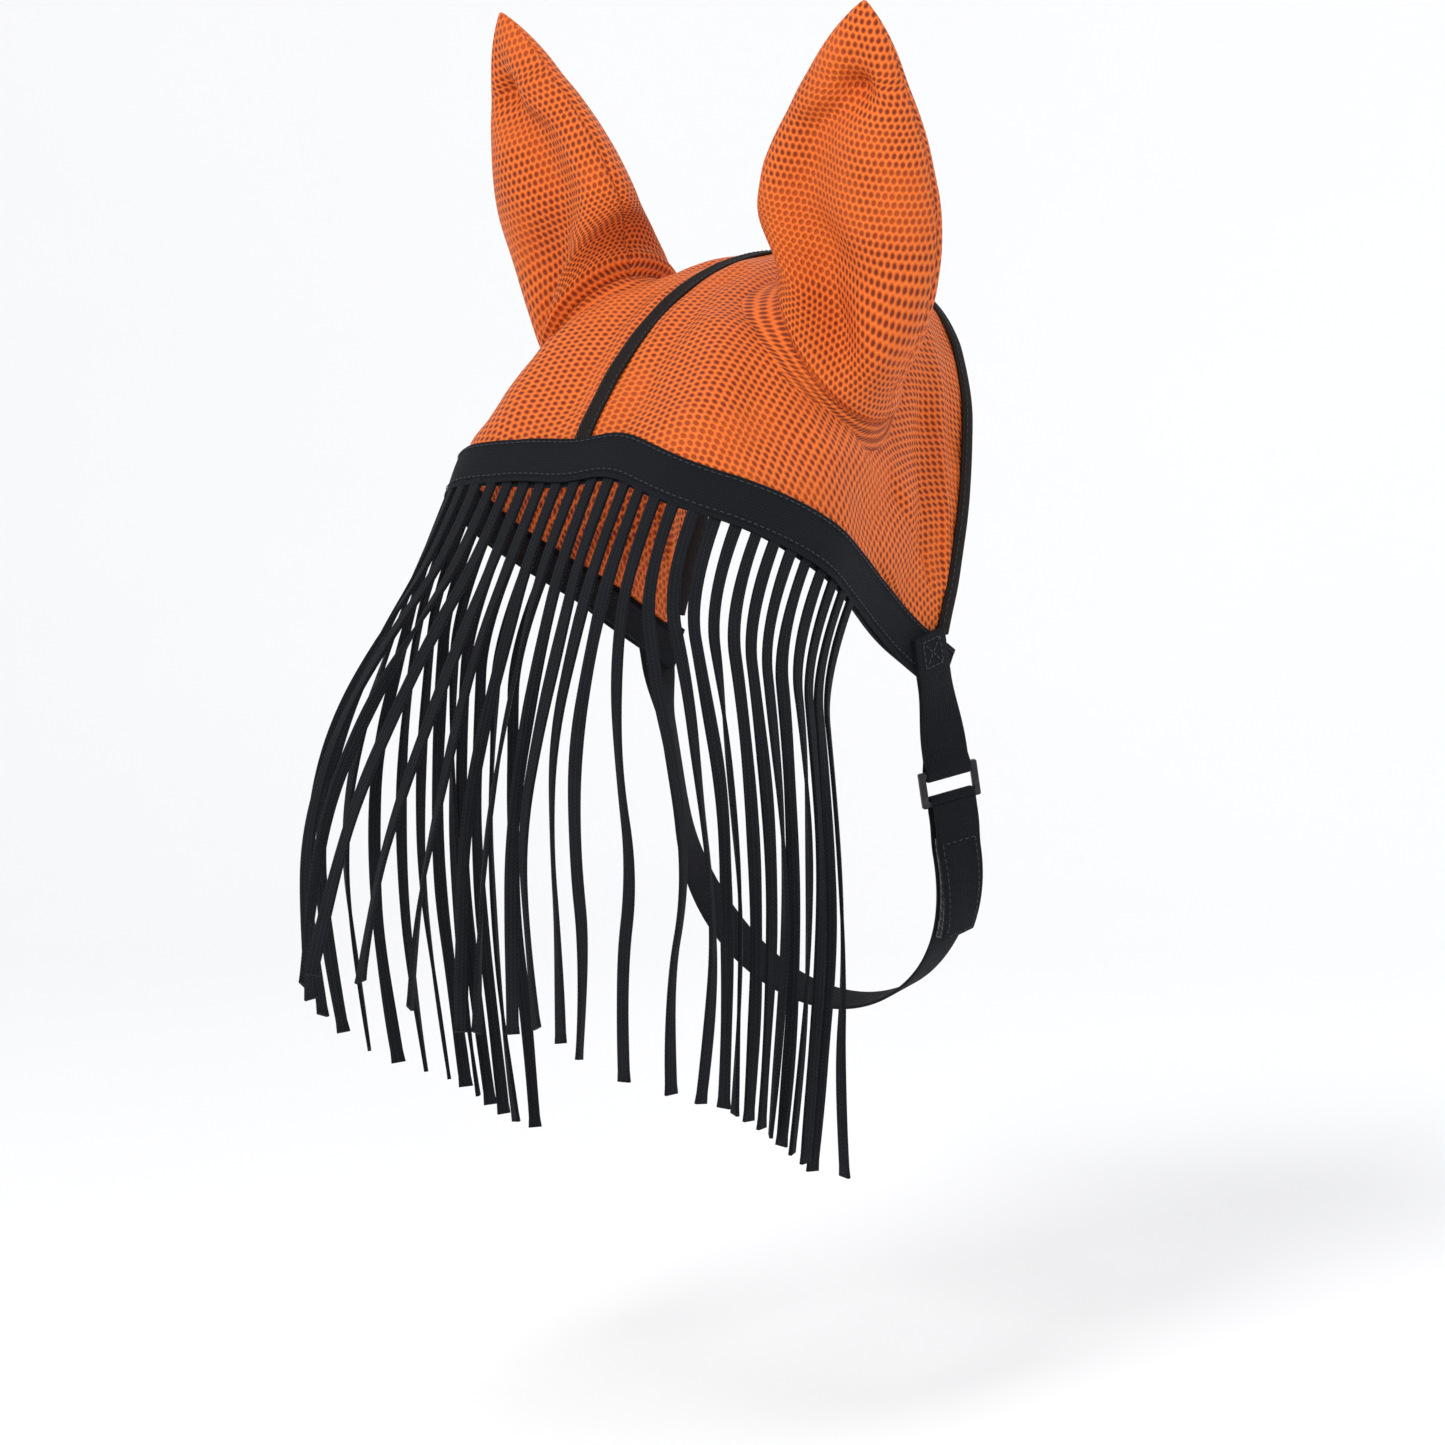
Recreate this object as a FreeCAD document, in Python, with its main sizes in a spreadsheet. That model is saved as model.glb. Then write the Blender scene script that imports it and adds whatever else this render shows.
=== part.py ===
"""Fly mask for a horse: a mesh bonnet with ear covers, a fringe of laces and a throat strap.

Row frame in millimetres: the horse looks along -Y, its left side is +X and +Z is up. The origin
is the point of the bonnet's lining that rests on the poll, on top of the head between the ears.
"""
import FreeCAD, Part
import math
import os

import Sketcher
from FreeCAD import Placement, Rotation, Vector

# Alias, value and meaning of every driving size, in millimetres or degrees.
SIZES = [
    ("poll_place", 0.545, "origin on the crown line, as a part of the fan from brow to rear edge"),
    ("corner_half_width", 90, "lining to middle at the side corners"),
    ("corner_flat", 34, "radius about the corner that stays flat under the strap"),
    ("corner_trim", 20, "radius about the corner where the mesh panels end"),
    ("brow_angle", 31, "slope of the brow edge about the corners, from level"),
    ("rear_angle", 108, "slope of the rear edge about the corners, from level"),
    ("brow_reach", 204, "corner to the middle of the brow edge"),
    ("rear_reach", 189, "corner to the middle of the rear edge"),
    ("crown_rise", 7, "extra reach over the crown"),
    ("brow_half_width", 110, "lining to middle at the temples"),
    ("rear_half_width", 90, "lining to middle behind the ears"),
    ("brow_squareness", 4.8, "exponent of the brow arch"),
    ("rear_squareness", 2.45, "exponent of the rear arch"),
    ("mesh_thickness", 2.5, "spacer mesh"),
    ("mesh_tuck", 6, "mesh running under the brow band"),
    ("seam_gap", 0.3, "clearance between sewn layers"),
    ("webbing_width", 25, "brow band and throat strap"),
    ("webbing_thickness", 1.6, "one ply of webbing"),
    ("band_tail", 8, "brow band running past the corner"),
    ("header_width", 16, "tape that carries the laces, behind the brow band"),
    ("binding_width", 9, "rear edge binding, one side"),
    ("binding_thickness", 1, "one ply of binding tape"),
    ("binding_gap", 0.6, "clearance inside the folded binding"),
    ("centre_tape_width", 10, "tape over the middle seam"),
    ("centre_tape_gap", 1, "clearance between that tape and the rear binding"),
    ("ear_place_back", 0.45, "ear base from brow to rear edge, as a part of the fan"),
    ("ear_place_side", 46, "ear base round its arch, up from the corner"),
    ("ear_base_radius", 44, "turning seam at the ear's base"),
    ("ear_length", 184, "base to tip along the ear"),
    ("ear_width", 101, "widest across the ear"),
    ("ear_fullness", 0.08, "extra width of the ear at half its height, as a part of its width"),
    ("ear_depth", 57, "front to back at the ear's base"),
    ("ear_lean_out", 15, "lean of the ear outwards"),
    ("ear_lean_forward", 12, "lean of the ear forwards"),
    ("ear_facing", 15, "the ear's opening, turned outwards from straight ahead"),
    ("ear_seat", 3, "plane of the ear's turning seam above the bonnet"),
    ("ear_gap", 1.2, "clearance in the ear's turning seam"),
    ("ear_collar_depth", 36, "depth of the collar's wall before it is trimmed to the bonnet"),
    ("lace_diameter", 6.5, "width of a flat lace"),
    ("lace_length", 300, "lace from band to cut end"),
    ("lace_pitch", 11.2, "spacing of the laces along the band"),
    ("lace_gap", 2.2, "band's lower edge to where a lace bends freely"),
    ("lace_front", 20, "distance from the middle where laces start to bow sideways"),
    ("lace_round", 80, "width over which their bow turns from forwards to sideways"),
    ("strap_forward", 17, "middle of the throat strap in front of the corner"),
    ("strap_rake", 13, "throat strap leaning back from upright"),
    ("strap_turn", 25, "turn of the strap's face towards the front, at the ring"),
    ("turn_start", 16, "corner to where the strap starts to turn"),
    ("turn_hold", 10, "strap beside the ring that keeps its turn"),
    ("turn_run", 72, "start of the bend to where the strap lies square again"),
    ("strap_straight", 108, "corner to where the throat strap starts its bend"),
    ("strap_head", 10, "strap above the corner, sewn over the band"),
    ("hanger_length", 64, "corner to the ring's upper bar"),
    ("ring_opening", 12, "ring opening between its bars"),
    ("ring_bar", 3.6, "thickness of the ring"),
    ("ring_side_gap", 0.8, "webbing to the ring's side bars"),
    ("ring_clearance", 0.3, "ring bar to the fold that holds it"),
    ("tail_length", 78, "turned-back end of the throat strap"),
    ("patch_length", 56, "hook and loop patches"),
    ("patch_inset", 1.5, "patch edge inside the webbing edge"),
    ("closing_gap", 0.4, "hook patch to loop patch"),
    ("tack_size", 12, "box stitching over the corners"),
    ("tack_thickness", 0.6, "thread standing on the webbing"),
]

# Every lace: how far its end stands from its root sideways (out from the middle) and backwards,
# how far it bows off the face, and how far it sways sideways at each of its five lower points.
LACES_LEFT = [
    (64, -138, 16, 1, 2, 2, 1, 0),
    (68, -130, 18, 1, 2, 1, 2, 0),
    (73, -131, 22, 2, 1, -3, -1, 0),
    (68, -120, 24, -2, -4, 0, 3, 0),
    (60, -109, 26, -4, -6, -2, 4, 0),
    (52, -80, 26, -6, -5, 2, -3, 0),
    (42, -48, 26, -3, 2, 4, -5, 0),
    (29, -27, 21, 1, -2, 1, 3, 0),
    (14, -9, 15, -1, 1, -2, -1, 0),
    (6, -7, 11, 0, -1, 1, 0, 0),
    (2, -7, 12, 0, -1, -1, 0, 0),
    (-1, -7, 11, 0, 1, 1, 0, 0),
    (-4, -9, 12, -1, 0, 1, 0, 0),
    (-5, -11, 10, 0, -1, 0, 1, 0),
    (-7, -12, 12, 1, 0, -1, 0, 0),
    (-6, -12, 10, 0, 1, 1, -1, 0),
    (-6, -14, 12, -1, -1, 0, -2, 0),
    (1, -3, 10, -2, -4, -5, -8, 0),
]
LACES_RIGHT = [
    (-68, -140, 14, 0, -2, -4, -1, 0),
    (-66, -161, 16, -1, 2, 3, -1, 0),
    (-64, -181, 14, 2, 3, 1, -2, 0),
    (-48, -187, 16, 0, 3, 1, 1, 0),
    (-42, -176, 22, 1, 0, -2, 1, 0),
    (-38, -156, 30, 2, 3, 1, -1, 0),
    (-32, -133, 34, 1, 4, 2, -2, 0),
    (-24, -104, 36, -1, 0, 2, 1, 0),
    (-17, -76, 32, -2, 1, 2, -1, 0),
    (-11, -50, 26, -1, 2, 0, 1, 0),
    (-7, -30, 20, 1, 0, -1, 0, 0),
    (-5, -17, 15, 0, 1, 2, 0, 0),
    (-5, -12, 13, -1, 0, 1, -1, 0),
    (-6, -12, 11, 0, -1, -1, 1, 0),
    (-7, -13, 12, 1, 1, 0, 0, 0),
    (-7, -13, 10, 0, 2, 1, -1, 0),
    (-6, -14, 12, -1, 0, -1, 0, 0),
    (-1, -6, 10, -2, -3, -2, -4, 0),
]
LACE_STATIONS = (0.13, 0.29, 0.46, 0.64, 0.82, 1.0)

doc = FreeCAD.newDocument("fly_mask")
sheet = doc.addObject("Spreadsheet::Sheet", "sizes")
for row, (alias, value, meaning) in enumerate(SIZES, start=1):
    sheet.set("A%d" % row, meaning)
    sheet.set("B%d" % row, str(value))
    sheet.setAlias("B%d" % row, alias)
doc.recompute()


def size(alias):
    """A driving size as a plain number."""
    return float(sheet.get(alias))


# ---------------------------------------------------------------- form of the head and bonnet


def blend(start, end, part):
    """Value a part of the way from start to end."""
    return start + (end - start) * part


def ease(part):
    """Smooth step from 0 to 1."""
    part = min(max(part, 0.0), 1.0)
    return part * part * (3 - 2 * part)


def crown_point(fan):
    """Distance and slope of the crown line from the line through both corners."""
    rise = size("crown_rise") * math.sin(math.pi * min(max(fan, 0.0), 1.0))
    reach = blend(size("brow_reach"), size("rear_reach"), fan) + rise
    return reach, math.radians(blend(size("brow_angle"), size("rear_angle"), fan))


poll_reach, poll_slope = crown_point(size("poll_place"))
CORNER = Vector(0, poll_reach * math.cos(poll_slope), -poll_reach * math.sin(poll_slope))
BAND_OUT = size("mesh_thickness") + size("seam_gap")
BROW_FRAME = Placement(CORNER, Rotation(Vector(1, 0, 0), 180 - size("brow_angle")))
STRAP_FRAME = Placement(CORNER, Rotation(Vector(1, 0, 0), 90 + size("strap_rake")))
STRAP_FRAME = STRAP_FRAME * Placement(Vector(0, 0, size("strap_forward")), Rotation())


def arch_profile(fan, turn, out=0.0):
    """Half width and distance from the corner line of one arch of the bonnet.

    fan runs from 0 at the brow edge to 1 at the rear edge, and turn from 0 at the left corner
    over the head to 180 degrees at the right one. out is the distance outside the lining.
    """
    widening = ease(1.6 * fan)
    power = blend(size("brow_squareness"), size("rear_squareness"), widening)
    half_width = blend(size("brow_half_width"), size("rear_half_width"), widening) + out
    reach = crown_point(fan)[0] + out
    across = math.cos(math.radians(turn))
    along = math.sin(math.radians(turn))
    scale = (abs(across) ** power + abs(along) ** power) ** (-1 / power)
    radius = reach * along * scale
    corner_share = (size("corner_half_width") + out) / half_width
    spread = ease((radius - size("corner_flat")) * 1.8 / (reach - size("corner_flat")))
    return half_width * across * scale * blend(corner_share, 1.0, spread), radius


def arch_point(fan, turn, out=0.0):
    """Point of the bonnet in the row frame; see arch_profile."""
    side, radius = arch_profile(fan, turn, out)
    slope = crown_point(fan)[1]
    return CORNER + Vector(side, -radius * math.cos(slope), radius * math.sin(slope))


def trim_turn(fan):
    """Turn at which an arch comes as near to the corner as the mesh panels do."""
    low, high = 0.0, 45.0
    for _ in range(40):
        middle = (low + high) / 2
        if arch_profile(fan, middle)[1] < size("corner_trim"):
            low = middle
        else:
            high = middle
    return high


def steps(start, end, count):
    """Evenly spaced values, both ends included."""
    return [blend(start, end, index / (count - 1)) for index in range(count)]


def curve(points):
    """Smooth edge through the points."""
    spline = Part.BSplineCurve()
    spline.interpolate(points)
    return spline.toShape()


def arch_ring(fan, turns, inside, outside):
    """Closed thin wire along one arch, from one distance outside the lining to another."""
    inner = [arch_point(fan, turn, inside) for turn in turns]
    outer = [arch_point(fan, turn, outside) for turn in turns]
    return Part.Wire([
        curve(inner),
        Part.makeLine(inner[-1], outer[-1]),
        curve(list(reversed(outer))),
        Part.makeLine(outer[0], inner[0]),
    ])


def arch_layer(fans, first_turn, last_turn, inside, outside, count=25):
    """Solid layer of the bonnet between two distances outside the lining."""
    rings = []
    for fan in fans:
        turns = steps(first_turn(fan), last_turn(fan), count)
        rings.append(arch_ring(fan, turns, inside, outside))
    return Part.makeLoft(rings, True, False)


def mirrored(shape):
    """The same piece on the other side of the head."""
    return shape.mirror(Vector(0, 0, 0), Vector(1, 0, 0))


def soft_piece(label, shape, placement=Placement()):
    """Sub-part whose shape follows the head's form, standing in the row frame or another one."""
    piece = doc.addObject("Part::Feature", label)
    piece.Label = label
    piece.Shape = shape
    piece.Placement = placement
    return piece


# ---------------------------------------------------------------- bonnet


def tuck_fan():
    """Fan value of the mesh edge that is tucked under the brow band."""
    tuck = math.degrees(size("mesh_tuck") / size("brow_reach"))
    return -tuck / (size("rear_angle") - size("brow_angle"))


def middle_turn(fan, distance):
    """Turn at which an arch passes at that distance from the middle plane."""
    reach = arch_profile(fan, 90)[1]
    return 90 - math.degrees(math.atan2(distance, reach)) * size("brow_reach") / reach


def panel_shape():
    """Left mesh panel before its ear hole is cut."""
    fans = steps(tuck_fan(), 1.0, 9)
    return arch_layer(
        fans,
        trim_turn,
        lambda fan: middle_turn(fan, size("seam_gap")),
        0.0,
        size("mesh_thickness"),
    )


def centre_tape_shape():
    """Tape over the middle seam, from the brow band to the rear binding."""
    half = size("centre_tape_width") / 2
    low = size("mesh_thickness") + size("seam_gap")
    high = low + size("binding_thickness")
    start = size("seam_gap") / size("brow_reach")
    stop = rear_fan(-size("binding_width") - size("centre_tape_gap"))
    rings = []
    for fan in steps(start, stop, 9):
        corners = [arch_point(fan, 90, low), arch_point(fan, 90, high)]
        points = [
            corners[0] + Vector(half, 0, 0),
            corners[1] + Vector(half, 0, 0),
            corners[1] - Vector(half, 0, 0),
            corners[0] - Vector(half, 0, 0),
        ]
        rings.append(Part.makePolygon(points + points[:1]))
    return Part.makeLoft(rings, True, False)


def rear_fan(beyond):
    """Fan value at a distance past the rear edge, measured at its middle."""
    step = math.degrees(beyond / size("rear_reach"))
    return 1.0 + step / (size("rear_angle") - size("brow_angle"))


def rear_binding_shape():
    """Tape folded round the rear edge of both mesh panels."""
    gap = size("binding_gap")
    ply = size("binding_thickness")
    start = rear_fan(-size("binding_width"))

    def across(fan):
        return 180 - trim_turn(fan)

    outside = arch_layer(
        steps(start, rear_fan(gap + ply), 3),
        trim_turn,
        across,
        -gap - ply,
        size("mesh_thickness") + gap + ply,
        49,
    )
    slot = arch_layer(
        steps(start - 0.02, rear_fan(gap), 3),
        lambda fan: trim_turn(fan) - 1.5,
        lambda fan: across(fan) + 1.5,
        -gap,
        size("mesh_thickness") + gap,
        49,
    )
    return outside.cut(slot)


# ---------------------------------------------------------------- ears


def ear_base():
    """Middle of the left ear's base on the bonnet, and the bonnet's outward normal there."""
    fan = size("ear_place_back")
    turn = size("ear_place_side")
    out = size("mesh_thickness")
    middle = arch_point(fan, turn, out)
    back = arch_point(fan + 0.01, turn, out) - arch_point(fan - 0.01, turn, out)
    up = arch_point(fan, turn + 1, out) - arch_point(fan, turn - 1, out)
    normal = up.cross(back)
    normal.normalize()
    if normal.x < 0:
        normal = normal * -1
    return middle, normal


def ear_axes():
    """Directions of the left ear: along it to the tip, across its width and out of its opening."""
    lean_out = math.tan(math.radians(size("ear_lean_out")))
    lean_forward = math.tan(math.radians(size("ear_lean_forward")))
    along = Vector(lean_out, -lean_forward, 1)
    along.normalize()
    facing = math.radians(size("ear_facing"))
    opening = Vector(math.sin(facing), -math.cos(facing), 0)
    opening = opening - along * opening.dot(along)
    opening.normalize()
    return along, opening.cross(along), opening


def ear_seat(lift):
    """Middle of the left ear's turning seam, lifted along its axis, and that axis."""
    middle, normal = ear_base()
    return middle + normal * (size("ear_seat") + lift), normal


def ear_share(height):
    """Part of its full width that the ear has at a height from 0 at its seam to 1 at its tip."""
    fuller = size("ear_fullness") * math.exp(-(((height - 0.5) / 0.2) ** 2))
    return (1 - height**3) * (1 + fuller)


def ear_solid(inset, start):
    """Closed form of the left ear, drawn in by inset, from a height above the turning seam."""
    foot, normal = ear_seat(start)
    along, across, _ = ear_axes()
    radius = size("ear_base_radius")
    rings = []
    for height in (0.0, 0.1, 0.22, 0.36, 0.5, 0.64, 0.77, 0.87, 0.94, 0.985):
        share = ear_share(height)
        half_width = blend(radius, share * size("ear_width") / 2, ease(height / 0.22)) - inset
        half_depth = blend(radius, share * size("ear_depth") / 2, ease(height / 0.36)) - inset
        if half_depth < 1.0:
            continue
        facing = normal + (along - normal) * ease(height / 0.45)
        facing.normalize()
        wide = across - facing * across.dot(facing)
        wide.normalize()
        centre = foot + along * (height * size("ear_length"))
        half_width = max(half_width, half_depth + 0.01)  # an ellipse's first radius is larger
        ellipse = Part.Ellipse(
            centre + wide * half_width, centre + facing.cross(wide) * half_depth, centre)
        rings.append(Part.Wire([ellipse.toShape()]))
    return Part.makeLoft(rings, True, False)


def half_space(point, normal):
    """Large block on the side of a plane that the normal points to."""
    reach = 4 * size("ear_length")
    block = Part.makeBox(reach, reach, reach, Vector(-reach / 2, -reach / 2, 0))
    block.Placement = Placement(point, Rotation(Vector(0, 0, 1), normal))
    return block


def bonnet_fill(out):
    """Everything inside the bonnet, out to a distance outside its lining."""
    rings = []
    first_turn = 1.0
    for fan in steps(-0.25, 1.25, 9):
        points = [arch_point(fan, turn, out) for turn in steps(first_turn, 180 - first_turn, 41)]
        rings.append(Part.Wire([curve(points), Part.makeLine(points[-1], points[0])]))
    return Part.makeLoft(rings, True, False)


def ear_pieces():
    """Left ear: front and back panels, and the seam collar on the bonnet that it turns on."""
    half_gap = size("ear_gap") / 2
    wall = size("mesh_thickness")
    cover = ear_solid(0.0, half_gap).cut(ear_solid(wall, half_gap - wall))
    middle, _ = ear_base()
    _, _, opening = ear_axes()
    half_seam = size("seam_gap") / 2
    front = cover.common(half_space(middle + opening * half_seam, opening))
    back = cover.common(half_space(middle - opening * half_seam, opening * -1))
    top, normal = ear_seat(-half_gap)
    depth = size("ear_collar_depth")
    radius = size("ear_base_radius")
    collar = Part.makeCylinder(radius, depth, top, normal * -1)
    collar = collar.cut(Part.makeCylinder(radius - wall, depth, top, normal * -1))
    collar = collar.cut(bonnet_fill(size("mesh_thickness") + size("seam_gap")))
    return front, back, collar


def ear_hole():
    """Hole in the left mesh panel, inside the collar."""
    middle, normal = ear_base()
    radius = size("ear_base_radius") - size("mesh_thickness") - size("seam_gap")
    depth = size("ear_collar_depth")
    return Part.makeCylinder(radius, 2 * depth, middle + normal * depth, normal * -1)


# ---------------------------------------------------------------- brow band and its laces


def band_shape(inside, outside, lower, upper):
    """Webbing that follows the brow arch; lower and upper count down from the mesh's edge line."""

    def edge_points(out):
        tail = size("band_tail")
        side = size("corner_half_width") + out
        points = [Vector(side, -tail, 0), Vector(side, -tail / 2, 0)]
        for turn in steps(0, 180, 61):
            points.append(Vector(*arch_profile(0, turn, out), 0))
        points += [Vector(-side, -tail / 2, 0), Vector(-side, -tail, 0)]
        return points

    inner = edge_points(inside)
    outer = edge_points(outside)
    outline = Part.Wire([
        curve(inner),
        Part.makeLine(inner[-1], outer[-1]),
        curve(list(reversed(outer))),
        Part.makeLine(outer[0], inner[0]),
    ])
    face = Part.Face(outline)
    face.translate(Vector(0, 0, upper))
    return face.extrude(Vector(0, 0, lower - upper))


def lace_root(distance):
    """Start of a lace under the band, at a distance along it from the middle, left positive."""
    out = BAND_OUT
    last = Vector(*arch_profile(0, 90, out), 0)
    gone = 0.0
    for turn in steps(90, 0, 721)[1:]:
        point = Vector(*arch_profile(0, turn, out), 0)
        step = (point - last).Length
        if gone + step >= abs(distance):
            point = last + (point - last) * ((abs(distance) - gone) / step)
            break
        gone += step
        last = point
    point.x = math.copysign(point.x, distance)
    point.z = size("webbing_width") + size("lace_gap")
    return BROW_FRAME.multVec(point)


def lace_route(root, lace):
    """Points of one lace's middle line, from the band's edge to its cut end."""
    lean_out, lean_back, bow, *sways = lace
    side = math.copysign(1, root.x)
    length = size("lace_length")
    turn = math.radians(90 * ease((abs(root.x) - size("lace_front")) / size("lace_round")))
    outward = Vector(side * math.sin(turn), -math.cos(turn), 0)
    sideways = Vector(-outward.y, outward.x, 0)
    first = BROW_FRAME.Rotation.multVec(Vector(0, 0, LACE_STATIONS[0] * length))
    rest = Vector(side * lean_out, lean_back, 0) - Vector(first.x, first.y, 0)
    run = (1 - LACE_STATIONS[0]) * length
    straight = 0.99 * run / (1 + (math.pi * bow / (2 * run)) ** 2)
    rest.z = -math.sqrt(straight**2 - rest.x**2 - rest.y**2)
    points = [root, root + first]
    for station, sway in zip(LACE_STATIONS[1:], sways):
        share = (station - LACE_STATIONS[0]) / (1 - LACE_STATIONS[0])
        bowed = outward * (bow * math.sin(math.pi * share))
        points.append(root + first + rest * share + bowed + sideways * sway)
    return points


def tube(label, points, diameter):
    """Round tube along straight runs joined by the largest arcs that they leave room for."""
    edges = []
    radii = []
    start = points[0]
    for before, corner, after in zip(points, points[1:], points[2:]):
        arrive = corner - before
        leave = after - corner
        shorter = min(arrive.Length, leave.Length)
        half_turn = arrive.getAngle(leave) / 2
        setback = 0.45 * shorter
        radius = setback / math.tan(half_turn)
        arrive.normalize()
        leave.normalize()
        arc_start = corner - arrive * setback
        arc_end = corner + leave * setback
        inward = leave - arrive
        inward.normalize()
        centre = corner + inward * (radius / math.cos(half_turn))
        arc_middle = centre - inward * radius
        edges.append(Part.LineSegment(start, arc_start).toShape())
        edges.append(Part.Arc(arc_start, arc_middle, arc_end).toShape())
        radii.append(radius)
        start = arc_end
    edges.append(Part.LineSegment(start, points[-1]).toShape())
    path = Part.Wire(edges)
    section = Part.Wire(Part.makeCircle(diameter / 2, points[0], points[1] - points[0]))
    shape = path.makePipeShell([section], True, False)
    expected = math.pi * diameter**2 / 4 * path.Length
    print("%s: length %.0f, volume %.3f of expected, radii %s" % (
        label, path.Length, shape.Volume / expected, " ".join("%.0f" % r for r in radii)))
    return shape


# ---------------------------------------------------------------- throat strap


class Measure:
    """A length known both as a number and as a formula of the sheet's cells."""

    def __init__(self, value, formula):
        self.value = value
        self.formula = formula

    def __add__(self, other):
        return Measure(self.value + other.value, "(%s + %s)" % (self.formula, other.formula))

    def __sub__(self, other):
        return Measure(self.value - other.value, "(%s - %s)" % (self.formula, other.formula))

    def __mul__(self, factor):
        return Measure(self.value * factor, "(%s * %s)" % (self.formula, factor))

    def __neg__(self):
        return self * -1


def cell(alias):
    """A driving size as a measure."""
    return Measure(size(alias), "sizes." + alias)


PLY = cell("webbing_thickness")
FOLD = cell("ring_bar") * 0.6 + cell("ring_clearance")
STRAP_IN = (
    cell("corner_half_width") + cell("mesh_thickness") + cell("webbing_thickness")
    + cell("seam_gap") * 2
)
BAR_X = STRAP_IN + PLY
UPPER_BAR_Y = -cell("hanger_length")
LOWER_BAR_Y = UPPER_BAR_Y - cell("ring_opening") - cell("ring_bar")
STRAP_LEFT_OUT = BAR_X - FOLD
STRAP_RIGHT_OUT = STRAP_IN + PLY
BEND_Y = -cell("strap_straight")
RING_TURN = Placement(
    Vector(0, 0, 0), Rotation(Vector(0, 1, 0), -size("strap_turn")), Vector(BAR_X.value, 0, 0))


def new_body(label):
    """Body that stands in the throat strap's frame."""
    body = doc.addObject("PartDesign::Body", label)
    body.Label = label
    body.Placement = STRAP_FRAME
    return body


def new_sketch(body, name, role):
    """Sketch on one of the body's own origin planes."""
    sketch = body.newObject("Sketcher::SketchObject", name)
    plane = [item for item in body.Origin.OriginFeatures if item.Role == role][0]
    sketch.AttachmentSupport = (plane, "")
    sketch.MapMode = "FlatFace"
    return sketch


def pin(sketch, edge, end, along, measure):
    """Hold one point of an edge at a distance from the sketch's origin, along X or Y."""
    kind = "DistanceX" if along == "X" else "DistanceY"
    name = "%s_%d_%d" % (along, edge, end)
    index = sketch.addConstraint(Sketcher.Constraint(kind, -1, 1, edge, end, measure.value))
    sketch.renameConstraint(index, name)
    sketch.setExpression("Constraints." + name, measure.formula)


def outline(sketch, corners):
    """Closed outline of straight lines through the corners."""
    edges = []
    for index, (x, y) in enumerate(corners):
        next_x, next_y = corners[(index + 1) % len(corners)]
        start = Vector(x.value, y.value, 0)
        stop = Vector(next_x.value, next_y.value, 0)
        edges.append(sketch.addGeometry(Part.LineSegment(start, stop)))
    for index, edge in enumerate(edges):
        after = edges[(index + 1) % len(edges)]
        sketch.addConstraint(Sketcher.Constraint("Coincident", edge, 2, after, 1))
        pin(sketch, edge, 1, "X", corners[index][0])
        pin(sketch, edge, 1, "Y", corners[index][1])


def rectangle(left, right, bottom, top):
    """Corners of a rectangle, counterclockwise."""
    return [(left, bottom), (right, bottom), (right, top), (left, top)]


def pad(body, sketch, name, depth):
    """Pad to both sides of the sketch."""
    feature = body.newObject("PartDesign::Pad", name)
    feature.Profile = sketch
    feature.Midplane = True
    feature.setExpression("Length", depth.formula)
    sketch.Visibility = False
    return feature


def make_ring():
    """Rectangular strap ring, its long bars in the two folds."""
    body = new_body("strap_ring")
    body.Placement = STRAP_FRAME * RING_TURN
    bar = cell("ring_bar")
    half_inside = cell("webbing_width") * 0.5 + cell("ring_side_gap")
    frame = new_sketch(body, "ring_frame", "YZ_Plane")
    half = bar * 0.5
    outline(frame, rectangle(
        LOWER_BAR_Y - half, UPPER_BAR_Y + half, -half_inside - bar, half_inside + bar))
    outline(frame, rectangle(LOWER_BAR_Y + half, UPPER_BAR_Y - half, -half_inside, half_inside))
    frame.setExpression("AttachmentOffset.Base.z", BAR_X.formula)
    ring = pad(body, frame, "ring_pad", bar)
    doc.recompute()
    rounding = body.newObject("PartDesign::Fillet", "ring_rounding")
    edges = ["Edge%d" % (index + 1) for index in range(len(ring.Shape.Edges))]
    rounding.Base = (ring, edges)
    rounding.setExpression("Radius", (bar * 0.28).formula)
    return body


def turn_axis(y, side):
    """Distance from the middle plane of the upright line that the strap turns about."""
    ply = PLY.value
    left = STRAP_LEFT_OUT.value - ply / 2
    right = STRAP_RIGHT_OUT.value - ply / 2
    ring_end = LOWER_BAR_Y.value - size("turn_hold")
    bend = BEND_Y.value
    if y < bend:
        radius = (left + right) / 2
        across = math.sqrt(max(radius**2 - (y - bend) ** 2, 0.0))
        return side * (left - right) / 2 + across
    if side < 0:
        return right
    return blend(BAR_X.value, left, ease((ring_end - y) / (ring_end - bend)))


def turned(x, y, z):
    """Point of the strap's frame after its face is turned to lie on the cheek."""
    side = math.copysign(1, x)
    ring_end = LOWER_BAR_Y.value - size("turn_hold")
    square = BEND_Y.value - size("turn_run")
    full = -UPPER_BAR_Y.value - size("turn_hold")
    share = ease((-y - size("turn_start")) / (full - size("turn_start")))
    share *= ease((y - square) / (ring_end - square))
    angle = math.radians(size("strap_turn")) * share
    out = abs(x) - turn_axis(y, side)
    new_x = turn_axis(y, side) + out * math.cos(angle) - z * math.sin(angle)
    return Vector(side * new_x, y, z * math.cos(angle) + out * math.sin(angle))


def turned_strip(lines, width):
    """Solid through cross-sections, each given by its two faces' points, turned with the strap."""
    rings = []
    for (x_a, y_a), (x_b, y_b) in lines:
        inner = turned(x_a, y_a, 0)
        outer = turned(x_b, y_b, 0)
        across = turned(x_a, y_a, width / 2) - inner
        corners = [inner - across, outer - across, outer + across, inner + across]
        rings.append(Part.makePolygon(corners + corners[:1]))
    return Part.makeLoft(rings, True, True)


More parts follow.
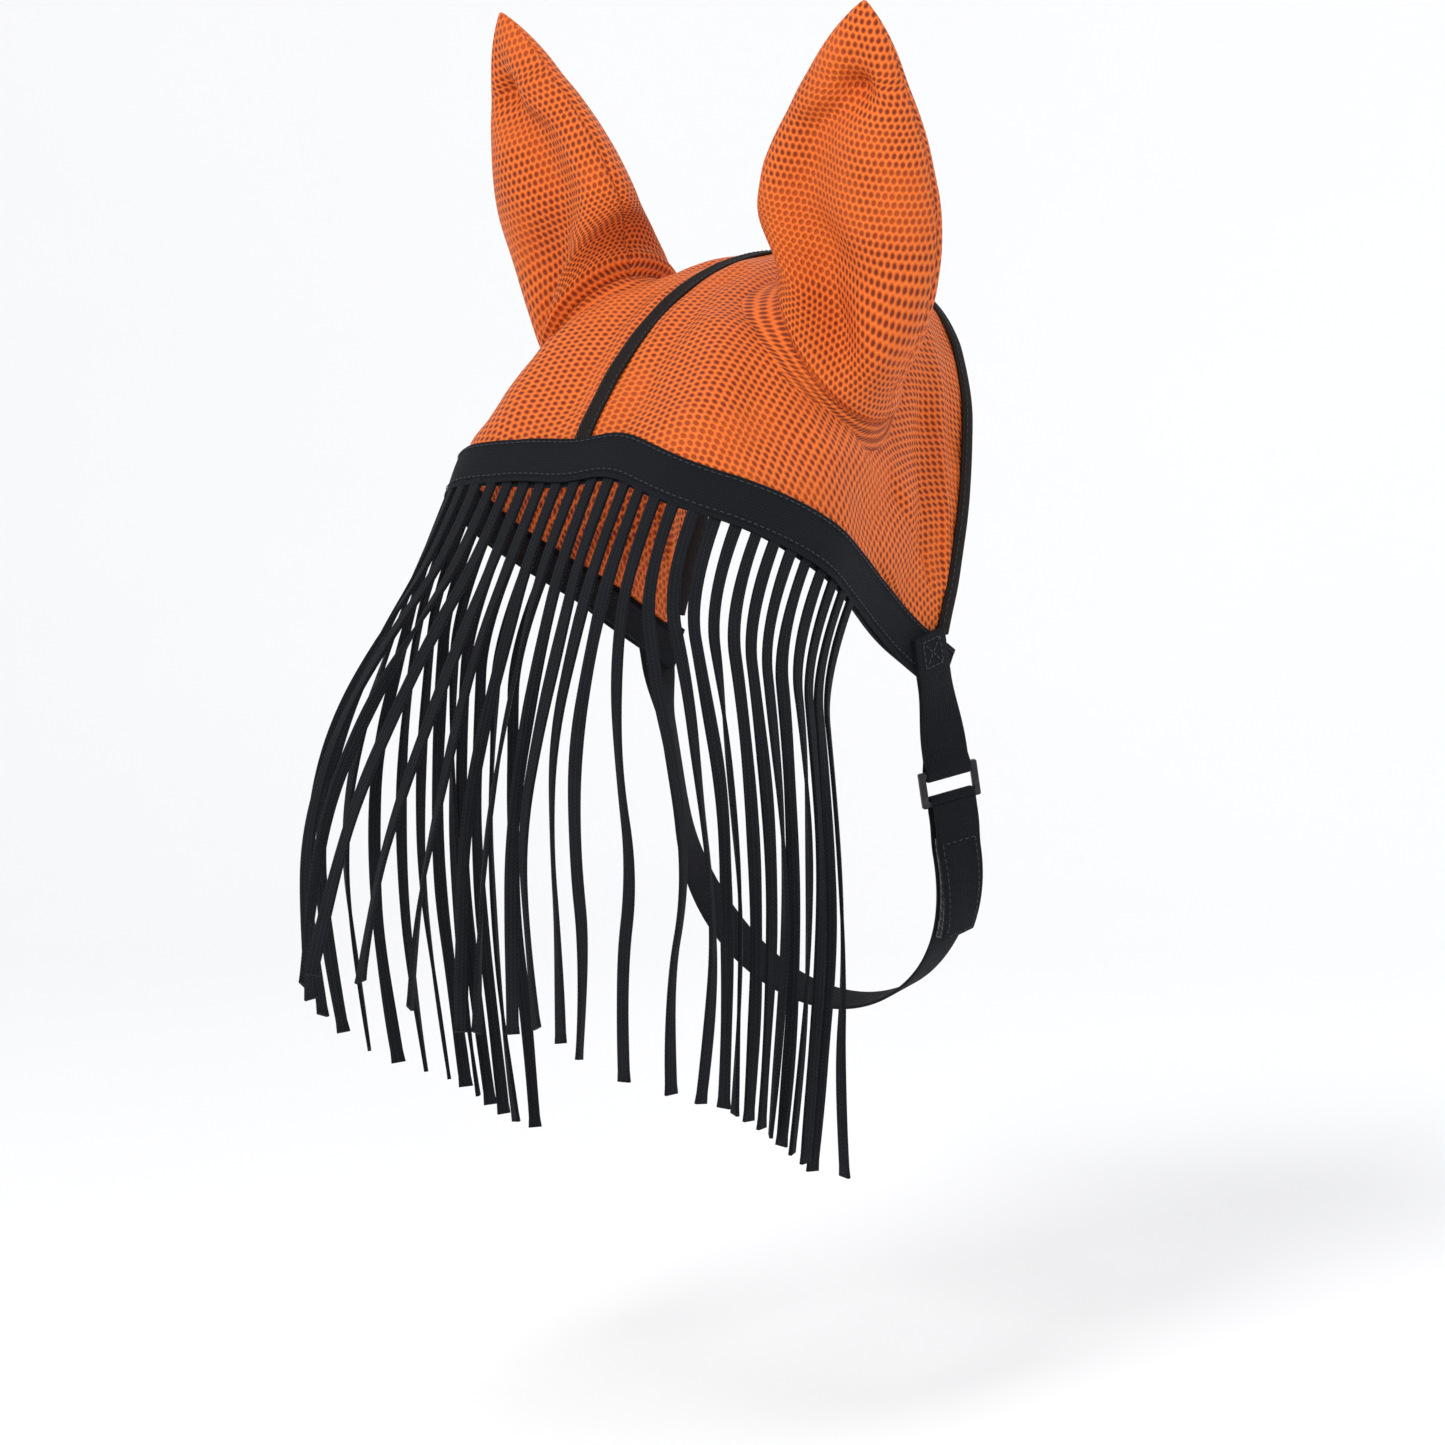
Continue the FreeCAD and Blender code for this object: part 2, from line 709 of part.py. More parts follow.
def ring_fold(height):
    """Ply of webbing all round one long bar of the ring, in the strap's frame."""
    width = size("webbing_width")
    start = Vector(BAR_X.value, height, -width / 2)
    axis = Vector(0, 0, 1)
    fold = Part.makeCylinder(FOLD.value + PLY.value, width, start, axis)
    return fold.cut(Part.makeCylinder(FOLD.value, width, start, axis))


def make_hanger():
    """Left hanger: webbing folded round the ring's upper bar and sewn over the corner."""
    inside = STRAP_IN.value
    outside = inside + 2 * PLY.value
    heights = steps(size("strap_head"), UPPER_BAR_Y.value, 16)
    plies = turned_strip([((inside, y), (outside, y)) for y in heights], size("webbing_width"))
    start = Vector(BAR_X.value, UPPER_BAR_Y.value, -size("webbing_width"))
    eye = Part.makeCylinder(FOLD.value, 2 * size("webbing_width"), start, Vector(0, 0, 1))
    fold = ring_fold(UPPER_BAR_Y.value)
    fold.Placement = RING_TURN
    eye.Placement = RING_TURN
    return plies.fuse(fold).cut(eye)


def make_throat_strap():
    """Throat strap: sewn at the right corner, round the throat and through the ring."""
    ply = PLY.value
    left = STRAP_LEFT_OUT.value
    right = STRAP_RIGHT_OUT.value
    middle = (left - right) / 2
    outer = (left + right) / 2
    bend = BEND_Y.value
    lines = [((left - ply, y), (left, y)) for y in steps(LOWER_BAR_Y.value, bend, 7)]
    for angle in steps(0, math.pi, 41)[1:]:
        across = math.cos(angle)
        down = math.sin(angle)
        lines.append((
            (middle + (outer - ply) * across, bend - (outer - ply) * down),
            (middle + outer * across, bend - outer * down),
        ))
    for y in steps(bend, size("strap_head"), 22)[1:]:
        lines.append(((ply - right, y), (-right, y)))
    run = turned_strip(lines, size("webbing_width"))
    width = size("webbing_width")
    fold = ring_fold(LOWER_BAR_Y.value)
    reach = 2 * (FOLD.value + ply)
    corner = Vector(BAR_X.value - reach, LOWER_BAR_Y.value, -width)
    fold = fold.common(Part.makeBox(2 * reach, reach, 2 * width, corner))
    fold.Placement = RING_TURN
    return run.fuse(fold)


def strap_strip(start, stop, inside, thickness, width):
    """Strip lying outside the throat strap's left side, between two distances below the
    ring's lower bar and a distance outside the strap's outer face."""
    bend = BEND_Y.value
    top = LOWER_BAR_Y.value
    run = top - bend
    middle = (STRAP_LEFT_OUT.value - STRAP_RIGHT_OUT.value) / 2
    radius = (STRAP_LEFT_OUT.value + STRAP_RIGHT_OUT.value) / 2

    def point(distance, out):
        if distance <= run:
            return STRAP_LEFT_OUT.value + out, top - distance
        angle = (distance - run) / (radius + inside)
        reach = radius + out
        return middle + reach * math.cos(angle), bend - reach * math.sin(angle)

    places = sorted(set(steps(start, stop, 17) + ([run] if start < run < stop else [])))
    lines = [(point(place, inside), point(place, inside + thickness)) for place in places]
    return turned_strip(lines, width)


def closure_pieces():
    """Turned-back tail with its hook patch, and the loop patch on the strap under it."""
    sewn = size("seam_gap")
    fold = 2 * FOLD.value
    patch = (fold - size("closing_gap")) / 2 - sewn
    width = size("webbing_width")
    narrow = width - 2 * size("patch_inset")
    patch_start = size("tail_length") - size("patch_length") - size("patch_inset")
    patch_stop = size("tail_length") - size("patch_inset")
    tail = strap_strip(sewn, size("tail_length"), fold, size("webbing_thickness"), width)
    hook = strap_strip(patch_start, patch_stop, fold - sewn - patch, patch, narrow)
    loop = strap_strip(patch_start, patch_stop, sewn, patch, narrow)
    return tail, hook, loop


def make_tack(label, side):
    """Box stitching that holds a strap's head to the band, standing on the webbing."""
    body = new_body(label)
    half = cell("tack_size") * 0.5
    thread = cell("tack_thickness")
    plies = 2 if side > 0 else 1
    lift = STRAP_IN + PLY * plies + thread * 0.5
    frame = new_sketch(body, label + "_box", "YZ_Plane")
    outline(frame, rectangle(-half, half, -half, half))
    outline(frame, rectangle(thread * 2 - half, half - thread * 2, thread * 2 - half,
                             half - thread * 2))
    frame.setExpression("AttachmentOffset.Base.z", (lift * side).formula)
    pad(body, frame, label + "_pad", thread)
    return body


# ---------------------------------------------------------------- assembly

pieces = []
left_front, left_back, left_collar = ear_pieces()
left_panel = panel_shape().cut(ear_hole())
pieces.append(soft_piece("bonnet_panel_left", left_panel))
pieces.append(soft_piece("bonnet_panel_right", mirrored(left_panel)))
pieces.append(soft_piece("centre_seam_tape", centre_tape_shape()))
pieces.append(soft_piece("rear_binding", rear_binding_shape()))
for part_name, shape in (("front", left_front), ("back", left_back), ("seam_collar", left_collar)):
    pieces.append(soft_piece("ear_left_" + part_name, shape))
    pieces.append(soft_piece("ear_right_" + part_name, mirrored(shape)))

webbing = size("webbing_thickness")
pieces.append(soft_piece(
    "brow_band", band_shape(BAND_OUT, BAND_OUT + webbing, size("webbing_width"), 0),
    BROW_FRAME))
pieces.append(soft_piece(
    "lace_header_tape",
    band_shape(0, size("mesh_thickness"), size("webbing_width"),
               size("webbing_width") - size("header_width")),
    BROW_FRAME))

for side_name, side_sign, laces in (("left", 1, LACES_LEFT), ("right", -1, LACES_RIGHT)):
    for number, lace in enumerate(laces):
        name = "lace_%s_%02d" % (side_name, number + 1)
        distance = side_sign * size("lace_pitch") * (number + 0.5)
        route = lace_route(lace_root(distance), lace)
        pieces.append(soft_piece(name, tube(name, route, size("lace_diameter"))))

pieces.append(soft_piece("hanger_left", make_hanger(), STRAP_FRAME))
pieces.append(make_ring())
pieces.append(soft_piece("throat_strap", make_throat_strap(), STRAP_FRAME))
tail, hook_patch, loop_patch = closure_pieces()
pieces.append(soft_piece("strap_tail", tail, STRAP_FRAME))
pieces.append(soft_piece("hook_patch", hook_patch, STRAP_FRAME))
pieces.append(soft_piece("loop_patch", loop_patch, STRAP_FRAME))
pieces.append(make_tack("stitching_left", 1))
pieces.append(make_tack("stitching_right", -1))

doc.recompute()
for item in doc.Objects:
    if "Invalid" in item.State or "Error" in item.State:
        raise RuntimeError("%s is %s" % (item.Label, item.State))
for piece in pieces:
    if piece.Shape.isNull() or not piece.Shape.isValid():
        raise RuntimeError("%s has no valid shape" % piece.Label)

os.makedirs("parts", exist_ok=True)
for piece in pieces:
    piece.Shape.exportStep(os.path.join("parts", piece.Label + ".step"))
    print("%-20s %d solid(s) %9.0f mm3" % (
        piece.Label, len(piece.Shape.Solids), piece.Shape.Volume))
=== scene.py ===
import bisect
import math

import bmesh
import bpy
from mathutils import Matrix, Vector, noise


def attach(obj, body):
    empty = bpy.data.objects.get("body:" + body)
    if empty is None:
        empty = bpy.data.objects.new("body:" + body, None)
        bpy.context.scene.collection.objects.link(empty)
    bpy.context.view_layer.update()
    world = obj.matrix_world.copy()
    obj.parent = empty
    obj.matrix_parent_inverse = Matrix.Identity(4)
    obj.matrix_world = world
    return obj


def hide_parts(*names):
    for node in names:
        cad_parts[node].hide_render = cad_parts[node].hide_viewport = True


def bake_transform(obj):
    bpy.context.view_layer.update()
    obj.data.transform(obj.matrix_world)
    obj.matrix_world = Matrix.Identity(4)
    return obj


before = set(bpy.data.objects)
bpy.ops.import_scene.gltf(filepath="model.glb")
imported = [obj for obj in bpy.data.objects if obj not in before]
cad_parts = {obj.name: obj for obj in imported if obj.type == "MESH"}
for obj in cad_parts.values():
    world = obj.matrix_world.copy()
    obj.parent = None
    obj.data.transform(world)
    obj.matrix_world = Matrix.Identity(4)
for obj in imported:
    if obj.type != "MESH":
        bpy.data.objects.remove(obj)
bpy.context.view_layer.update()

MM = 0.001
SIDES = (("left", 1), ("right", -1))

# ------------------------------------------------------------------ form of the bonnet, metres

BROW_ANGLE, REAR_ANGLE = math.radians(31), math.radians(108)
BROW_REACH, REAR_REACH, CROWN_RISE = 204 * MM, 189 * MM, 7 * MM
BROW_HALF_WIDTH, REAR_HALF_WIDTH, CORNER_HALF_WIDTH = 110 * MM, 90 * MM, 90 * MM
BROW_SQUARENESS, REAR_SQUARENESS = 4.8, 2.45
CORNER_FLAT, CORNER_TRIM = 34 * MM, 11 * MM
POLL_PLACE = 0.545
MESH = 2.5 * MM
BAND_WIDTH, WEBBING = 25 * MM, 1.6 * MM
EAR_PLACE_BACK, EAR_PLACE_SIDE = 0.45, 46.0
EAR_LENGTH, EAR_WIDTH, EAR_DEPTH, EAR_FULLNESS = 184 * MM, 101 * MM, 57 * MM, 0.08
EAR_BASE_RADIUS, EAR_SEAT_HEIGHT = 44 * MM, 3 * MM
EAR_LEAN_OUT, EAR_LEAN_FORWARD, EAR_FACING = math.radians(15), math.radians(12), math.radians(15)
LACE_WIDTH, LACE_THICKNESS = 6.5 * MM, 1.9 * MM
LACE_LENGTH, LACE_PITCH, LACE_GAP = 300 * MM, 11.2 * MM, 2.2 * MM
LACE_FRONT, LACE_ROUND, LACE_SEWN, LACE_BEND = 20 * MM, 80 * MM, 5 * MM, 22 * MM
STRAP_RAKE, STRAP_FORWARD = math.radians(13), 17 * MM


def blend(start, end, part):
    """Value a part of the way from start to end."""
    return start + (end - start) * part


def ease(part):
    """Smooth step from 0 to 1."""
    part = min(max(part, 0.0), 1.0)
    return part * part * (3 - 2 * part)


def steps(start, end, count):
    """Evenly spaced values, both ends included."""
    return [blend(start, end, index / (count - 1)) for index in range(count)]


def swell(place, middle, width):
    """Rounded rise of height 1 around a place."""
    return math.exp(-(((place - middle) / width) ** 2))


def mirrored(point, side):
    """Point or direction as it is for side 1, or mirrored for side -1."""
    return Vector((point.x * side, point.y, point.z))


def square_to(direction, axis):
    """Direction turned square to an axis, by the shortest way."""
    return (direction - axis * direction.dot(axis)).normalized()


def along_line(path):
    """Distance along a path at each of its points."""
    gone = [0.0]
    for first, second in zip(path, path[1:]):
        gone.append(gone[-1] + (second - first).length)
    return gone


def crown_point(fan):
    """Distance and slope of the crown line from the line through both corners."""
    rise = CROWN_RISE * math.sin(math.pi * min(max(fan, 0.0), 1.0))
    return blend(BROW_REACH, REAR_REACH, fan) + rise, blend(BROW_ANGLE, REAR_ANGLE, fan)


POLL_REACH, POLL_SLOPE = crown_point(POLL_PLACE)
CORNER = Vector((0, POLL_REACH * math.cos(POLL_SLOPE), -POLL_REACH * math.sin(POLL_SLOPE)))
HEAD_MIDDLE = CORNER + Vector((0, 0, 0.06))
BAND_DOWN = Vector((0, -math.sin(BROW_ANGLE), -math.cos(BROW_ANGLE)))
BAND_FORWARD = Vector((0, -math.cos(BROW_ANGLE), math.sin(BROW_ANGLE)))
STRAP_UP = Vector((0, -math.sin(STRAP_RAKE), math.cos(STRAP_RAKE)))
STRAP_FORE = Vector((0, -math.cos(STRAP_RAKE), -math.sin(STRAP_RAKE)))


def arch_form(fan, out):
    """Squareness of one arch of the bonnet, its reach, and its half width at any radius."""
    widening = ease(1.6 * fan)
    power = blend(BROW_SQUARENESS, REAR_SQUARENESS, widening)
    full = blend(BROW_HALF_WIDTH, REAR_HALF_WIDTH, widening) + out
    reach = crown_point(fan)[0] + out

    def half_width(radius):
        spread = ease((radius - CORNER_FLAT) * 1.8 / (reach - CORNER_FLAT))
        return blend(CORNER_HALF_WIDTH + out, full, spread)

    return power, reach, half_width


def arch_profile(fan, turn, out=0.0):
    """Half width and distance from the corner line of one arch of the bonnet."""
    power, reach, half_width = arch_form(fan, out)
    across = math.cos(math.radians(turn))
    along = math.sin(math.radians(turn))
    scale = (abs(across) ** power + abs(along) ** power) ** (-1 / power)
    radius = reach * along * scale
    return half_width(radius) * across * scale, radius


def arch_point(fan, turn, out=0.0):
    """Point of the bonnet; fan 0 brow to 1 rear, turn 0 left corner to 180 right corner."""
    side, radius = arch_profile(fan, turn, out)
    slope = crown_point(fan)[1]
    return CORNER + Vector((side, -radius * math.cos(slope), radius * math.sin(slope)))


def bonnet_normal(fan, turn, out=MESH):
    """Outward direction of the bonnet."""
    back = arch_point(fan + 0.01, turn, out) - arch_point(fan - 0.01, turn, out)
    up = arch_point(fan, turn + 1, out) - arch_point(fan, turn - 1, out)
    normal = up.cross(back).normalized()
    outward = arch_point(fan, turn, out) - HEAD_MIDDLE
    return normal if normal.dot(outward) > 0 else -normal


def first_true(low, high, halvings, test):
    """Bounds, halved together, of the least value at which a test starts to hold."""
    for _ in range(halvings):
        middle = (low + high) / 2
        if test(middle):
            high = middle
        else:
            low = middle
    return low, high


def trim_turn(fan):
    """Turn at which an arch comes as near to the corner as the mesh panels do."""
    return first_true(0.0, 45.0, 30, lambda t: arch_profile(fan, t)[1] >= CORNER_TRIM)[1]


# ------------------------------------------------------------------ node materials


class Shader:
    """Small helper that builds one node material."""

    def __init__(self, name):
        self.material = bpy.data.materials.new(name)
        self.material.use_nodes = True
        self.tree = self.material.node_tree
        self.surface = self.tree.nodes["Principled BSDF"]

    def put(self, socket, value):
        """Link or set one input; None leaves it as it is."""
        if isinstance(value, bpy.types.NodeSocket):
            self.tree.links.new(value, socket)
        elif value is not None:
            socket.default_value = (*value, 1) if socket.type == "RGBA" else value

    def node(self, kind, inputs=(), **settings):
        """New node; its inputs are given in their order, or by number or name."""
        item = self.tree.nodes.new(kind)
        for key, value in settings.items():
            setattr(item, key, value)
        for socket, value in inputs.items() if isinstance(inputs, dict) else enumerate(inputs):
            self.put(item.inputs[socket], value)
        return item

    def math(self, operation, *values):
        return self.node("ShaderNodeMath", values, operation=operation).outputs[0]

    def times(self, first, second):
        return self.math("MULTIPLY", first, second)

    def plus(self, first, second):
        return self.math("ADD", first, second)

    def minus(self, first, second):
        return self.math("SUBTRACT", first, second)

    def vector(self, operation, *values):
        item = self.node("ShaderNodeVectorMath", values, operation=operation)
        return item.outputs["Value" if operation == "LENGTH" else "Vector"]

    def mix(self, share, first, second):
        inputs = {"Factor": share, 6: first, 7: second}
        return self.node("ShaderNodeMix", inputs, data_type="RGBA").outputs[2]

    def noise(self, scale, detail, where=None):
        """Noise at a place on the cloth, or at the object's own place where none is given."""
        where = self.place() if where is None else where
        inputs = {"Vector": where, "Scale": scale, "Detail": detail, "Roughness": 0.55}
        return self.node("ShaderNodeTexNoise", inputs).outputs["Fac"]

    def ramp(self, value, low, high):
        inputs = {"Value": value, "From Min": low, "From Max": high}
        item = self.node("ShaderNodeMapRange", inputs, interpolation_type="SMOOTHSTEP")
        return item.outputs["Result"]

    def uv(self):
        return self.node("ShaderNodeUVMap", uv_map="cloth").outputs["UV"]

    def place(self):
        return self.node("ShaderNodeTexCoord").outputs["Object"]

    def split(self, vector):
        return self.node("ShaderNodeSeparateXYZ", [vector]).outputs

    def bump(self, height, depth, strength):
        inputs = {"Height": height, "Distance": depth, "Strength": strength}
        return self.node("ShaderNodeBump", inputs).outputs[0]

    def finish(self, color, roughness, normal=None, sheen=0.0, sheen_tint=None, gloss=0.3):
        for name, value in (
                ("Base Color", color), ("Roughness", roughness), ("Normal", normal),
                ("Sheen Weight", sheen), ("Sheen Tint", sheen_tint),
                ("Specular IOR Level", gloss)):
            self.put(self.surface.inputs[name], value)
        return self.material


def hexagon_distance(shader, place, pitch):
    """Distance to the nearest hole of a hexagonal net, in hole spacings."""
    cell = (1.0, math.sqrt(3), 1.0)
    inputs = {0: place, "Scale": 1 / pitch}
    scaled = shader.node("ShaderNodeVectorMath", inputs, operation="SCALE").outputs[0]
    nearest = None
    for shift in ((0.0, 0.0, 0.0), (0.5, math.sqrt(3) / 2, 0.0)):
        moved = shader.vector("ADD", scaled, shift)
        share = shader.vector("FRACTION", shader.vector("DIVIDE", moved, cell))
        centred = shader.vector("SUBTRACT", share, (0.5, 0.5, 0.0))
        reach = shader.vector("LENGTH", shader.vector("MULTIPLY", centred, (1, math.sqrt(3), 0)))
        nearest = reach if nearest is None else shader.math("MINIMUM", nearest, reach)
    return nearest


def spacer_mesh_material():
    """Orange knitted spacer mesh: rows of small hexagons in soft shiny yarn, the holes painted
    shade in dark brown and their rims a painted highlight.
    """
    shader = Shader("orange_spacer_mesh")
    uv = shader.uv()
    wander = shader.noise(90, 2, uv)
    shift = shader.times(shader.minus(wander, 0.5), 0.0012)
    both = shader.node("ShaderNodeCombineXYZ", [shift, shift]).outputs[0]
    place = shader.vector("ADD", uv, both)
    place = shader.vector("MULTIPLY", place, (1.0, 0.76, 1.0))
    distance = hexagon_distance(shader, place, 3.5 * MM)
    # Mask of the holes: they get painted shade in the colour and sink in the bump.
    hole = shader.minus(1.0, shader.ramp(distance, 0.15, 0.35))
    rim = shader.ramp(distance, 0.30, 0.52)
    patches = shader.noise(28, 4)
    # Noisy patches where the painted shade in the holes is fainter.
    faint_hole_shade = shader.ramp(shader.noise(17, 2), 0.46, 0.62)
    yarn = shader.noise(1400, 2, uv)
    warm = shader.mix(patches, (0.66, 0.085, 0.005), (0.84, 0.150, 0.014))
    # Painted highlight: the rims of the holes are painted a paler orange.
    knit = shader.mix(shader.times(rim, 0.5), warm, (0.92, 0.24, 0.035))
    knit = shader.mix(shader.times(yarn, 0.25), knit, (0.50, 0.07, 0.008))
    # Painted shade: the holes are painted dark brown, less in the faint patches.
    depth = shader.minus(0.95, shader.times(faint_hole_shade, 0.45))
    color = shader.mix(shader.times(hole, depth), knit, (0.15, 0.014, 0.002))
    height = shader.minus(shader.times(rim, 0.5), hole)
    normal = shader.bump(height, 0.9 * MM, 0.9)
    return shader.finish(color, 0.62, normal, sheen=0.08, sheen_tint=(1.0, 0.6, 0.35))


def dark_weave(shader, weave, top_highlight, cloud, fuzz, dark, light, depth, strength, tint):
    """Finish dull dark cloth: a painted highlight on the tops of its weave, paler in its clouds,
    and fuzzy.
    """
    # Painted highlight: the raised tops of the weave are painted paler than its grooves.
    rise = shader.times(shader.ramp(weave, -1.0, 1.0), top_highlight)
    color = shader.mix(shader.plus(rise, cloud), dark, light)
    normal = shader.bump(shader.plus(weave, fuzz), depth, strength)
    return shader.finish(color, 0.86, normal, 0.02, tint, gloss=0.12)


def webbing_material(name, color, rib=1.5 * MM):
    """Woven polyester tape: ribs along it and fine weft across."""
    shader = Shader(name)
    uv = shader.uv()
    across, along, _ = shader.split(uv)
    rows = shader.math("SINE", shader.times(across, 2 * math.pi / rib))
    weft_place = shader.times(along, 2 * math.pi / (0.9 * MM))
    half_row = shader.times(across, math.pi / rib)
    weft = shader.math("SINE", shader.plus(weft_place, half_row))
    weave = shader.plus(shader.times(rows, 0.7), shader.times(weft, 0.4))
    fuzz = shader.times(shader.noise(900, 2, uv), 0.5)
    cloud = shader.times(shader.noise(35, 4), 0.35)
    # Paler colour, for the clouds and for the painted highlight on the tops of the weave.
    light = tuple(min(channel * 2.0 + 0.003, 1) for channel in color)
    return dark_weave(shader, weave, 0.45, cloud, fuzz, color, light, 0.22 * MM, 0.8,
                      (0.55, 0.6, 0.7))


def braid_material():
    """Flat black braid: two sets of yarns that cross in a herringbone."""
    shader = Shader("black_flat_braid")
    across, along, _ = shader.split(shader.uv())
    slant = shader.times(shader.math("ABSOLUTE", across), 1.1)
    place = shader.plus(along, slant)
    plait = shader.math("SINE", shader.times(place, 2 * math.pi / (2.1 * MM)))
    lanes = shader.math("COSINE", shader.times(across, 2 * math.pi / (2.2 * MM)))
    knit = shader.times(shader.plus(plait, lanes), 0.5)
    fuzz = shader.times(shader.noise(1100, 3), 0.6)
    cloud = shader.times(shader.noise(60, 3), 0.3)
    # The raised crossings of the braid get a painted highlight in dark_weave.
    return dark_weave(shader, knit, 0.5, cloud, fuzz, (0.0035, 0.0042, 0.0058),
                      (0.017, 0.019, 0.024), 0.28 * MM, 0.9, (0.6, 0.65, 0.75))


def thread_material(name, dark, light):
    """Twisted sewing thread."""
    shader = Shader(name)
    twist = shader.noise(2600, 2)
    color = shader.mix(twist, dark, light)
    return shader.finish(color, 0.55, shader.bump(twist, 0.1 * MM, 0.8))


def ring_material():
    """Moulded black plastic, slightly grained and rubbed paler in patches."""
    shader = Shader("moulded_black_plastic")
    grain = shader.noise(1500, 3)
    wear = shader.ramp(shader.noise(160, 5), 0.5, 0.75)
    color = shader.mix(wear, (0.010, 0.010, 0.012), (0.045, 0.045, 0.05))
    rough = shader.plus(0.32, shader.times(wear, 0.2))
    return shader.finish(color, rough, shader.bump(grain, 0.05 * MM, 0.4))


def hook_material(name, scale, depth):
    """Hook or loop pile: dense little points or curls, with a painted highlight on the points and
    painted shade between them.
    """
    shader = Shader(name)
    points = shader.node("ShaderNodeTexVoronoi", {"Vector": shader.place(), "Scale": scale})
    pile = shader.ramp(points.outputs["Distance"], 0.1, 0.7)
    fuzz = shader.noise(scale * 2, 4)
    # Painted highlight and shade: paler on the raised points, darker down between them.
    color = shader.mix(pile, (0.05, 0.05, 0.055), (0.008, 0.008, 0.01))
    height = shader.minus(fuzz, pile)
    return shader.finish(color, 0.85, shader.bump(height, depth, 1.0), sheen=0.4)


MATERIALS = {
    "spacer_mesh": spacer_mesh_material(),
    "webbing": webbing_material("black_ribbed_webbing", (0.0045, 0.0052, 0.0072)),
    "seam_tape": webbing_material("brown_black_tape", (0.0095, 0.0065, 0.0060), 1.1 * MM),
    "braided_lace": braid_material(),
    "ring_plastic": ring_material(),
    "hook_tape": hook_material("hook_pile", 900, 0.7 * MM),
    "loop_tape": hook_material("loop_pile", 500, 0.5 * MM),
    "thread": thread_material("black_thread", (0.010, 0.011, 0.013), (0.05, 0.052, 0.06)),
    # The orange thread, darker than the mesh, sews the ear seams and is partly painted shade for
    # the fold line there.
    "orange_thread": thread_material("orange_thread", (0.22, 0.03, 0.005), (0.45, 0.08, 0.02)),
}


def dress(piece, slot, body=None, node=None):
    """Give a piece the material of the record's slot, the body it rides and the node it shows."""
    piece.data.materials.clear()
    piece.data.materials.append(MATERIALS[slot])
    if body:
        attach(piece, body)
    if node:
        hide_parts(node)


# ------------------------------------------------------------------ mesh building


def smooth(mesh):
    """Shade all faces of a mesh smooth."""
    for face in mesh.polygons:
        face.use_smooth = True


def new_piece(name, vertices, faces, uvs):
    """Mesh object with cloth coordinates in metres for every vertex."""
    mesh = bpy.data.meshes.new(name)
    mesh.from_pydata([tuple(v) for v in vertices], [], faces)
    layer = mesh.uv_layers.new(name="cloth")
    for loop in mesh.loops:
        layer.data[loop.index].uv = uvs[loop.vertex_index]
    smooth(mesh)
    mesh.update()
    piece = bpy.data.objects.new(name, mesh)
    bpy.context.scene.collection.objects.link(piece)
    return piece


def grid_piece(name, rows, uvs, around=False, skip=None):
    """Sheet through rows of points; around closes each row into a loop."""
    width = len(rows[0])
    vertices = [point for row in rows for point in row]
    flat_uvs = [uv for row in uvs for uv in row]
    faces = []
    for r in range(len(rows) - 1):
        for c in range(width if around else width - 1):
            right = (c + 1) % width
            face = (r * width + c, r * width + right, (r + 1) * width + right, (r + 1) * width + c)
            if skip is None or not skip(r, c):
                faces.append(face)
    return new_piece(name, vertices, faces, flat_uvs)


def thicken(piece, thickness, rounded):
    """Give a sheet its thickness, inwards from its faces, and round its edges."""
    solid = piece.modifiers.new("thickness", "SOLIDIFY")
    solid.thickness = thickness
    solid.offset = -1.0
    solid.use_even_offset = False
    if rounded:
        bevel = piece.modifiers.new("edges", "BEVEL")
        bevel.width = rounded
        bevel.segments = 2
        bevel.limit_method = "ANGLE"
        bevel.angle_limit = math.radians(50)
    depsgraph = bpy.context.evaluated_depsgraph_get()
    piece.data = bpy.data.meshes.new_from_object(piece.evaluated_get(depsgraph))
    piece.modifiers.clear()
    smooth(piece.data)


def recalc(piece, inside):
    """Make a sheet's faces agree and point away from an inner point, and drop loose points."""
    work = bmesh.new()
    work.from_mesh(piece.data)
    loose = [v for v in work.verts if not v.link_faces]
    bmesh.ops.delete(work, geom=loose, context="VERTS")
    bmesh.ops.recalc_face_normals(work, faces=work.faces)
    if sum(f.normal.dot(f.calc_center_median() - inside) for f in work.faces) < 0:
        bmesh.ops.reverse_faces(work, faces=work.faces)
    work.to_mesh(piece.data)
    work.free()


def cloth_piece(name, rows, uvs, inside, thickness, rounded, slot, body, node, skip=None):
    """Thick dressed sheet through rows of points, its faces turned away from an inner point."""
    piece = grid_piece(name, rows, uvs, skip=skip)
    recalc(piece, inside)
    thicken(piece, thickness, rounded)
    dress(piece, slot, body, node)
    return piece


